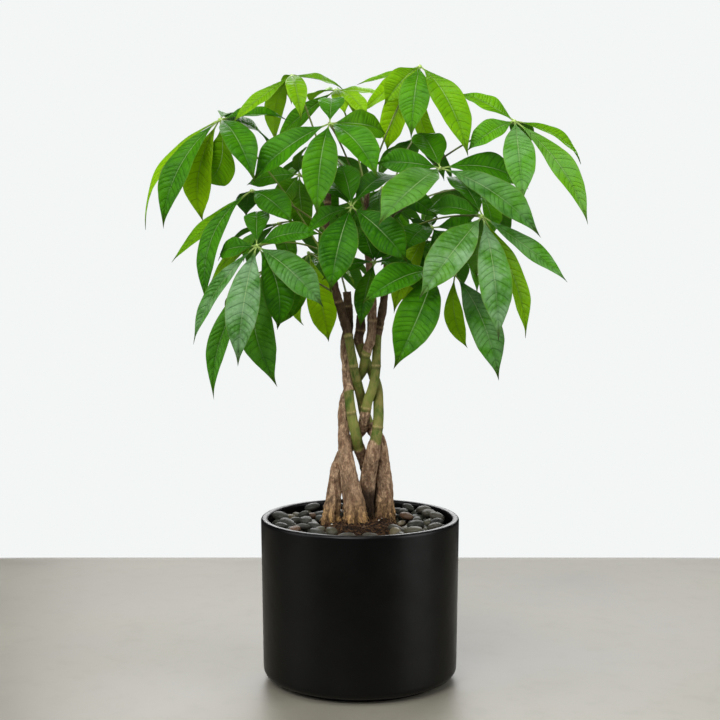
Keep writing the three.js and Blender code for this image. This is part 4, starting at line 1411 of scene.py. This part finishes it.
def leaf_guide(name, trunk, height, hub, lean, rows, draw):
    """One point at the hub for each leaflet, then the points of the stalk."""
    centre = Vector(hub)
    stalk, radii = petiole_points(trunk_point(trunk, height), centre)
    *places, widths, turns, youths, bends, arches = zip(*rows)
    reaches = [Vector(place) for place in zip(*places)]
    faces = [leaflet_face(reach, lean, turn) for reach, turn in zip(reaches, turns)]
    count = len(rows)
    rest = len(stalk)
    edges = [(count + i, count + i + 1) for i in range(rest - 1)]
    zeros = [0.0] * rest
    no_vectors = [(0, 0, 0)] * rest
    # A leaf's tone is partly its own and partly painted light and shade.
    shade = TONES_LIT_AND_SHADED.get(name, PLAIN_SHADE)
    bloom = BLOOM_AND_SHEEN.get(name, 0.0)
    # Painted sheen: strongest on leaflets that hang steeply towards the front.
    steep = [step_up(-reach.normalized().z, *HAZE_STEEP) for reach in reaches]
    forward = [step_up(-reach.normalized().y, *HAZE_FORWARD) for reach in reaches]
    return guide_mesh(
        "leaf guide", [p * MM for p in [centre] * count + stalk], edges,
        leaflet=[1.0] * count + zeros,
        hub=[list(centre * MM)] * (count + rest),
        reach=[list(reach * MM) for reach in reaches] + no_vectors,
        face=[list(face) for face in faces] + no_vectors,
        width=[width * MM for width in widths] + zeros,
        tone=[shade + draw.uniform(0, SHADE_PLAY) for _ in rows] + [shade] * rest,
        bloom=[bloom * s * f * (1 - youth) * draw.uniform(*HAZE_PLAY)
               for s, f, youth in zip(steep, forward, youths)] + zeros,
        twist=[draw.uniform(-TWIST_PLAY, TWIST_PLAY) for _ in rows] + zeros,
        fold=[draw.uniform(*FOLDS) for _ in rows] + zeros,
        bend=[bend + draw.uniform(-BEND_PLAY, BEND_PLAY) for bend in bends] + zeros,
        arch=[*arches] + zeros,
        youth=[*youths] + [max(youths)] * rest,
        knot=[1.0] * count + [min(1.0, max(0.0, r - KNOT_STARTS)) for r in radii],
        radius=[0.0] * count + [r * MM for r in radii])


print("guide of a leaf ready")

# %% [markdown]
# The leaf tree starts from one flat grid for each leaflet. Its columns run from edge to edge and
# its rows from hub to tip. The rows are swept forward towards the edges, as the side veins are,
# so that a quilted swell between two veins is simply a wave over the rows. Two copies of the
# sheet, a hair apart and merged at the edge, give the leaflet its thickness and its own
# underside. Every leaflet has its own random tone, which also shifts its waves and its noise, so
# that no two are alike.

# %% The parts of the leaf tree
COLUMN_CROWDING = 1.25
OUTLINE = [
    (0, 0.05), (0.07, 0.055), (0.12, 0.14), (0.18, 0.3), (0.26, 0.54), (0.4, 0.86), (0.55, 1.0),
    (0.68, 0.93), (0.78, 0.7), (0.86, 0.41), (0.91, 0.21), (0.95, 0.09), (1, 0.0),
]


def outline_curve(tree, share):
    """The leaflet's half width along its length, drawn as a curve."""
    made = node(tree, "ShaderNodeFloatCurve", {"Value": share})
    curve = made.socket.node.mapping.curves[0]
    for x, y in OUTLINE[1:-1]:
        curve.points.new(x, y)
    curve.points[0].location = OUTLINE[0]
    curve.points[-1].location = OUTLINE[-1]
    made.socket.node.mapping.update()
    return made


def leaflet_grids(tree, given):
    """A grid for each leaflet at its hub, with its place on the blade kept as an attribute."""
    grid = node(tree, "GeometryNodeMeshGrid", {
        "Size X": 2.0, "Size Y": 1.0, "Vertices X": given["Columns"],
        "Vertices Y": given["Rows"]})
    x, y, _ = node(tree, "GeometryNodeInputPosition").parts()
    across = x.math("SIGN") * x.math("ABSOLUTE").math("POWER", COLUMN_CROWDING)
    grid = stored(tree, grid, "blade", combined(tree, across, y + 0.5, 0.0), VECTOR)
    is_leaflet = attribute(tree, "leaflet").math("GREATER_THAN", 0.5)
    placed = node(tree, "GeometryNodeInstanceOnPoints", {
        "Points": given["Geometry"], "Selection": is_leaflet, "Instance": grid})
    return realized(tree, placed)


def crease(out, width):
    """1 on the midrib, falling to 0 at this share of the half width."""
    return out.smooth(width, 0.0)


print("outline points:", len(OUTLINE))

# %% The leaf tree
HOOK_POWER = 7.0
EDGE_WAVES = 2.4
VEIN_PLAY = 0.42
CREASE_WIDTH = 0.14
CREASE_DEPTH = 0.35
RIB_WIDTH = 0.2
RIB_HEIGHT = 0.6
STALK_SIDES = 10
MERGE_DISTANCE = 0.01


def build_leaf_tree():
    inputs = {
        "Columns": (INTEGER_INPUT, 13),
        "Rows": (INTEGER_INPUT, 71),
        "Vein pairs": (INTEGER_INPUT, VEIN_PAIRS),
        "Tip hook": (FLOAT_INPUT, 0.035),
        "Vein sweep": (FLOAT_INPUT, 0.1),
        "Quilting": (FLOAT_INPUT, 0.8 * MM),
        "Edge wave": (FLOAT_INPUT, 0.08),
        "Blade thickness": (FLOAT_INPUT, 0.7 * MM),
        "Stalk thickness": (FLOAT_INPUT, 2.2 * MM),
        "Stalk radius": (FLOAT_INPUT, 1.0 * MM),
        "Upper": (MATERIAL_INPUT, None),
        "Under": (MATERIAL_INPUT, None),
        "Stalk": (MATERIAL_INPUT, None),
    }
    tree, given, end = new_grower("hand shaped leaf", inputs)
    sheets = leaflet_grids(tree, given)
    across, row, _ = attribute(tree, "blade", VECTOR).parts()
    out = across.math("ABSOLUTE")
    reach = attribute(tree, "reach", VECTOR)
    length = reach.vector("LENGTH", output="Value")
    along = reach.vector("NORMALIZE")
    face = attribute(tree, "face", VECTOR)
    tone = attribute(tree, "tone")

    # How far along the leaflet a point lies, how wide the blade is there, and how it arches.
    share = row + given["Vein sweep"] * out * (out * 0.4 + 0.6) * row * (1.0 - row) * 4.0
    least = given["Stalk radius"] * (1.0 - share)
    half = (outline_curve(tree, share) * attribute(tree, "width") * 0.5).math("MAXIMUM", least)
    arch = share * (1.0 - share) * 4.0
    height = attribute(tree, "arch")
    rise = length * (height * arch - given["Tip hook"] * share.math("POWER", HOOK_POWER))
    bend = attribute(tree, "bend") * length * arch
    slope = height * (1.0 - share * 2.0) * 4.0
    normal = face.vector("SUBTRACT", along.scaled(slope)).vector("NORMALIZE")
    side = along.vector("CROSS_PRODUCT", face)
    angle = attribute(tree, "twist") * share * share
    turned_side = side.scaled(angle.math("COSINE")).vector(
        "ADD", normal.scaled(angle.math("SINE")))

    # The blade's relief: the fold at the midrib, the waves of the edge, and the quilting.
    fold = ((out * out + 0.01).math("SQRT") - 0.1) * attribute(tree, "fold")
    ripple = ((share * EDGE_WAVES + tone * 5.0 + across * 0.2) * (2 * math.pi)).math("SINE")
    wave = ripple * out * out * given["Edge wave"]
    unevenness = (row * 19.0 + tone * 40.0).math("SINE") * VEIN_PLAY
    count = row * given["Vein pairs"] + unevenness
    phase = count.math("FRACT")
    off_middle = out * 2.0 - 0.9
    body = (1.0 - off_middle * off_middle * 0.8).math("MAXIMUM", 0.0)
    inner = body * row.smooth(0.05, 0.2) * row.smooth(1.0, 0.85)
    spot = combined(tree, across * 1.3 + tone * 31.0, row * 6.0, tone * 17.0)
    patchy = noise(tree, spot, 1.0, 2.0).smooth(0.3, 0.7)
    quilt = (phase * math.pi).math("SINE") * inner * given["Quilting"] * (patchy * 0.9 + 0.1)
    groove = crease(out, CREASE_WIDTH) * CREASE_DEPTH * MM * row.smooth(0.05, 0.15)
    lift = half * (fold + wave) + quilt - groove

    # The middle of the blade's thickness, and how far its two sides stand off from it.
    centre = attribute(tree, "hub", VECTOR).vector("ADD", reach.scaled(share)).vector(
        "ADD", face.scaled(rise))
    middle = centre.vector("ADD", turned_side.scaled(across * half + bend)).vector(
        "ADD", normal.scaled(lift))
    round_edge = (1.0 - across * across).math("MAXIMUM", 0.0).math("SQRT")
    ends = (row * 40.0).math("MINIMUM", 1.0) * ((1.0 - row) * 25.0).math("MINIMUM", 1.0)
    stalky = row.smooth(0.16, 0.02)
    thicker = given["Stalk thickness"] - given["Blade thickness"]
    depth = given["Blade thickness"] + thicker * stalky
    half_depth = depth * 0.5 * round_edge * ends
    rib = crease(out, RIB_WIDTH) * RIB_HEIGHT * MM * (1.0 - row) * row.smooth(0.0, 0.1)

    # What the finish reads, kept on the sheet before it is placed.
    metric = combined(tree, across * half + tone * 0.7, share * length, tone)
    marked = stored(tree, sheets, "metric", metric, VECTOR)
    marked = stored(tree, marked, "blade", combined(tree, across, row, count), VECTOR)
    neighbours = node(tree, "GeometryNodeInputMeshEdgeNeighbors", output="Face Count")
    border = neighbours.math("LESS_THAN", 1.5)

    def sheet(offset, material, flipped):
        place = middle.vector("ADD", normal.scaled(offset))
        moved = node(tree, "GeometryNodeSetPosition", {"Geometry": marked, "Position": place})
        if flipped:
            moved = node(tree, "GeometryNodeFlipFaces", {"Mesh": moved})
        smooth = shaded(tree, moved, material)
        inputs = {"Geometry": smooth, "Selection": border, "Shade Smooth": False}
        return node(tree, "GeometryNodeSetShadeSmooth", inputs, domain="EDGE")

    upper = sheet(half_depth, given["Upper"], False)
    under = sheet(half_depth * -1.0 - rib, given["Under"], True)
    both = node(tree, "GeometryNodeMergeByDistance", {
        "Geometry": joined(tree, upper, under), "Distance": MERGE_DISTANCE * MM})
    stalk = swept(tree, given["Geometry"], unit_circle(tree, STALK_SIDES))
    give(end, {"Geometry": joined(tree, both, shaded(tree, stalk, given["Stalk"]))})
    return tree


LEAF_TREE = build_leaf_tree()
print("leaf tree:", len(LEAF_TREE.nodes), "nodes")

# %% [markdown]
# A leaf is lit from both sides: the upper skin is a little waxy, and light that falls on one side
# glows through to the other. So the upper side and the underside each mix a Principled shader,
# for skin and sheen, with a Translucent one. The blade's colour comes from the leaflet's tone,
# partly its own and partly painted light and shade, and from its youth. Over it the veins group
# paints shade at the base and in the groove and darkens the side veins, the swells carry a
# painted highlight, and the leaflets that hang forward carry a pale haze, partly wax bloom and
# partly a painted sheen of light on wax.

# %% The leaf finishes
def blade_colours(tree, dark, light, young):
    """The blade's colour from the leaflet's tone, partly painted light and shade, and its youth,
    with soft patches.
    """
    patches = mottle(tree, 28.0, low=0.3, high=0.7)
    shade = read(tree, "tone") * 0.8 + patches * 0.45 - 0.1
    green = mixed(tree, shade, dark, light)
    youth = read(tree, "youth")
    patchy = (youth + (patches - 0.5) * 0.2) * youth.smooth(0.0, 0.3)
    return mixed(tree, patchy.math("MINIMUM", 1.0), green, young)


def network(tree):
    """The finest veins, as a height with small pits between them."""
    place = read(tree, "metric", "Vector")
    cells = {0: place, "Scale": 520.0}
    return node(tree, "ShaderNodeTexVoronoi", cells, distance="EUCLIDEAN")


def glow_through(tree, shader, material, skin, share):
    """Mixes light that passes through the blade into its material."""
    output = tree.nodes["Material Output"]
    glow = node(tree, "ShaderNodeBsdfTranslucent", {"Color": skin})
    both = {0: share, 1: Wire(tree, shader.outputs["BSDF"]), 2: glow}
    mix = node(tree, "ShaderNodeMixShader", both)
    tree.links.new(mix.socket, output.inputs["Surface"])
    return material


def leaf_finish(name, dark, light, young, midrib, vein, rough):
    """A blade's finish from the codes of its colours and its least roughness."""
    material, tree, shader = new_material(name, Specular_IOR_Level=0.09)
    lines = grouped(tree, VEINS, {"Midrib width": 0.036, "Vein width": 0.06})
    crinkle = noise(tree, read(tree, "metric", "Vector"), 210.0, 4.0)
    # A painted highlight: gloss makes the swells between the veins paler where the crinkle noise
    # is high.
    gloss = lines["Swell"] * crinkle.smooth(0.35, 0.7)
    haze = mottle(tree, 34.0, low=0.36, high=0.62) * 0.55 + gloss * 0.25 + 0.05
    # Painted light on the blade: shade at the base and in the groove, a highlight on the swells,
    # and the pale haze, partly wax bloom and partly painted sheen.
    blade = layered(
        tree, blade_colours(tree, dark, light, young),
        (lines["Base"] * 0.5 + lines["Groove"] * 0.36, dark), (gloss * 0.42, light),
        (read(tree, "bloom") * haze, "#a3c29c"), (lines["Veins"] * 0.4, vein),
        (lines["Midrib"] * 0.68, midrib), (lines["Tip"] * 0.8, "#3b3a10"),
        (lines["Edge"] * 0.35, "#7d8434"), (lines["Stalk"] * 0.85, "#a9c268"))
    height = lines["Swell"] * 0.4 - lines["Veins"] * 0.5 - lines["Midrib"] * 0.6
    relief = bump(tree, height + crinkle * 0.8 + network(tree) * 0.3, 0.8 * MM)
    fine = bump(tree, grain(tree, 2400.0), 0.05 * MM, relief)
    dress(shader, tree, {
        "Base Color": blade,
        "Roughness": rough + mottle(tree, 60.0) * 0.08,
        "Normal": fine,
    })
    # The light that glows through is painted darker at the base, as shade, and along the side
    # veins.
    glow = layered(
        tree, mixed(tree, read(tree, "youth"), "#418c0a", "#c8ea28"),
        ((lines["Base"] + lines["Veins"]) * 0.35, "#1c4e05"), (lines["Tip"] * 0.7, "#2c300c"))
    return glow_through(tree, shader, material, glow, 0.38)


def stalk_finish():
    material, tree, shader = new_material("leaf stalk", Roughness=0.5)
    base = mixed(tree, mottle(tree, 60.0), "#4a3d20", "#55661f")
    dress(shader, tree, {
        "Base Color": layered(
            tree, base, (read(tree, "youth") * 0.5, "#7f9a2c"), (read(tree, "knot"), "#9fbc5c")),
        "Normal": bump(tree, grain(tree, 1500.0), 0.15 * MM),
    })
    return material


UPPER = leaf_finish("leaf upper side", "#1c4e05", "#4f980e", "#98c80c", "#b4d08c", "#1f5008",
                    0.3)
# The underside's greens are its own paler colour, painted a little darker for the shade under a
# leaf.
UNDER = leaf_finish("leaf underside", "#33631a", "#4c7f2a", "#8fb82a", "#a9c27a", "#9ab867",
                    0.6)
STALK = stalk_finish()
print("finishes:", UPPER.name, UNDER.name, STALK.name)

# %% Make the leaves
YOUNG_LEAVES = ("leaf_02", "leaf_03", "leaf_05", "leaf_16")
LEAF_SEED = 14


def make_leaves():
    draw = random.Random(LEAF_SEED)
    faces = 0
    for name, trunk, height, hub, lean, rows in all_leaves():
        guide = leaf_guide(name, trunk, height, hub, lean, rows, draw)
        piece = grown("hand_" + name, guide, LEAF_TREE, Upper=UPPER, Under=UNDER, Stalk=STALK)
        seat(piece, "young_leaf" if name in YOUNG_LEAVES else "leaf", name)
        faces += len(piece.data.polygons)
    return faces


print("leaf faces:", make_leaves())

# %% [markdown]
# ## Floor and light
#
# The picture was taken in a studio: a pale, slightly polished floor that ends in white, broad
# soft lights from above and from the front, one from behind, which glows through the leaves, and
# weaker ones from the two sides, which draw the faint upright bands on the pot. The colours are
# shown as they are, without a film look.

# %% The floor
FLOOR_HALF = 2.4
FLOOR_END = 0.69
FLOOR_SIDE = 0.95
FLOOR_FADE = (0.012, -0.004)
FLOOR_SQUARENESS = 8


def floor_finish():
    material, tree, shader = new_material("pale floor", Specular_IOR_Level=0.4)
    clouds = mottle(tree, 3.2, low=0.25, high=0.75)
    flecks = mottle(tree, 26.0, low=0.45, high=0.75)
    base = mixed(tree, clouds, "#6a665b", "#7c796c")
    x, y, _ = node(tree, "ShaderNodeTexCoord", output="Object").parts()
    across = x.math("ABSOLUTE") * (FLOOR_END / FLOOR_SIDE)
    ahead = y.math("ABSOLUTE")
    powers = [side.math("POWER", FLOOR_SQUARENESS) for side in (across, ahead)]
    reach = (powers[0] + powers[1]).math("POWER", 1 / FLOOR_SQUARENESS)
    dress(shader, tree, {
        "Base Color": mixed(tree, flecks * 0.2, base, "#5c594f"),
        "Roughness": 0.38 + clouds * 0.12,
        "Alpha": reach.smooth(*(FLOOR_END + past for past in FLOOR_FADE)),
    })
    return material


def make_floor():
    mesh = bpy.data.meshes.new("floor")
    corners = [(-1, -1), (1, -1), (1, 1), (-1, 1)]
    mesh.from_pydata([(x * FLOOR_HALF, y * FLOOR_HALF, 0) for x, y in corners], [], [(0, 1, 2, 3)])
    mesh.materials.append(floor_finish())
    floor = bpy.data.objects.new("floor", mesh)
    scene.collection.objects.link(floor)


make_floor()
print("floor ends", FLOOR_END, "m from the pot")

# %% The background and the lights
def make_background(seen, tint, light, gloss):
    """White behind the floor, a gentler light on the plant, and little of it in reflections."""
    world = bpy.data.worlds.new("studio")
    world.use_nodes = True
    tree = world.node_tree
    tree.nodes.clear()
    path = node(tree, "ShaderNodeLightPath").socket.node
    in_camera = Wire(tree, path.outputs["Is Camera Ray"])
    in_gloss = Wire(tree, path.outputs["Is Glossy Ray"])
    shown = node(tree, "ShaderNodeBackground", {"Color": colour(seen), "Strength": 1.0})
    strength = light + in_gloss * (gloss - light)
    sky = colour(tint)
    gentle = node(tree, "ShaderNodeBackground", {"Color": sky, "Strength": strength})
    mix = node(tree, "ShaderNodeMixShader", {0: in_camera, 1: gentle, 2: shown})
    end = tree.nodes.new("ShaderNodeOutputWorld")
    tree.links.new(mix.socket, end.inputs["Surface"])
    scene.world = world


def soft_light(name, place, aim, width, height, watts, sheen=1.0):
    """A rectangle of light, in metres and watts. The sheen weakens its highlights."""
    light = bpy.data.lights.new(name, "AREA")
    light.shape = "RECTANGLE"
    light.size = width
    light.size_y = height
    light.energy = watts
    light.specular_factor = sheen
    lamp = bpy.data.objects.new(name, light)
    scene.collection.objects.link(lamp)
    lamp.location = place
    lamp.rotation_euler = (Vector(aim) - Vector(place)).to_track_quat("-Z", "Y").to_euler()
    lamp.visible_camera = False


CROWN = (0, 0, 0.6)
make_background("#f3f6f5", "#f4f7ff", 0.36, 0.06)
# Each light has its name, its place, the point it aims at, its width and height, and its watts.
soft_light("overhead", (-0.3, -0.3, 2.6), (0, 0, 0.4), 1.4, 1.4, 34)
soft_light("front", (-0.9, -2.3, 2.1), CROWN, 1.4, 1.0, 72)
soft_light("left", (-2.3, -0.8, 1.2), CROWN, 1.6, 2.2, 26)
soft_light("right", (2.3, -0.95, 1.0), CROWN, 1.7, 2.2, 46)
soft_light("back", (0.2, 2.6, 1.6), CROWN, 2.6, 1.6, 70, 0.25)
scene.view_settings.view_transform = "Standard"

# %% [markdown]
# Last, the scene is brought up to date.

# %% Bring the scene up to date
bpy.context.view_layer.update()
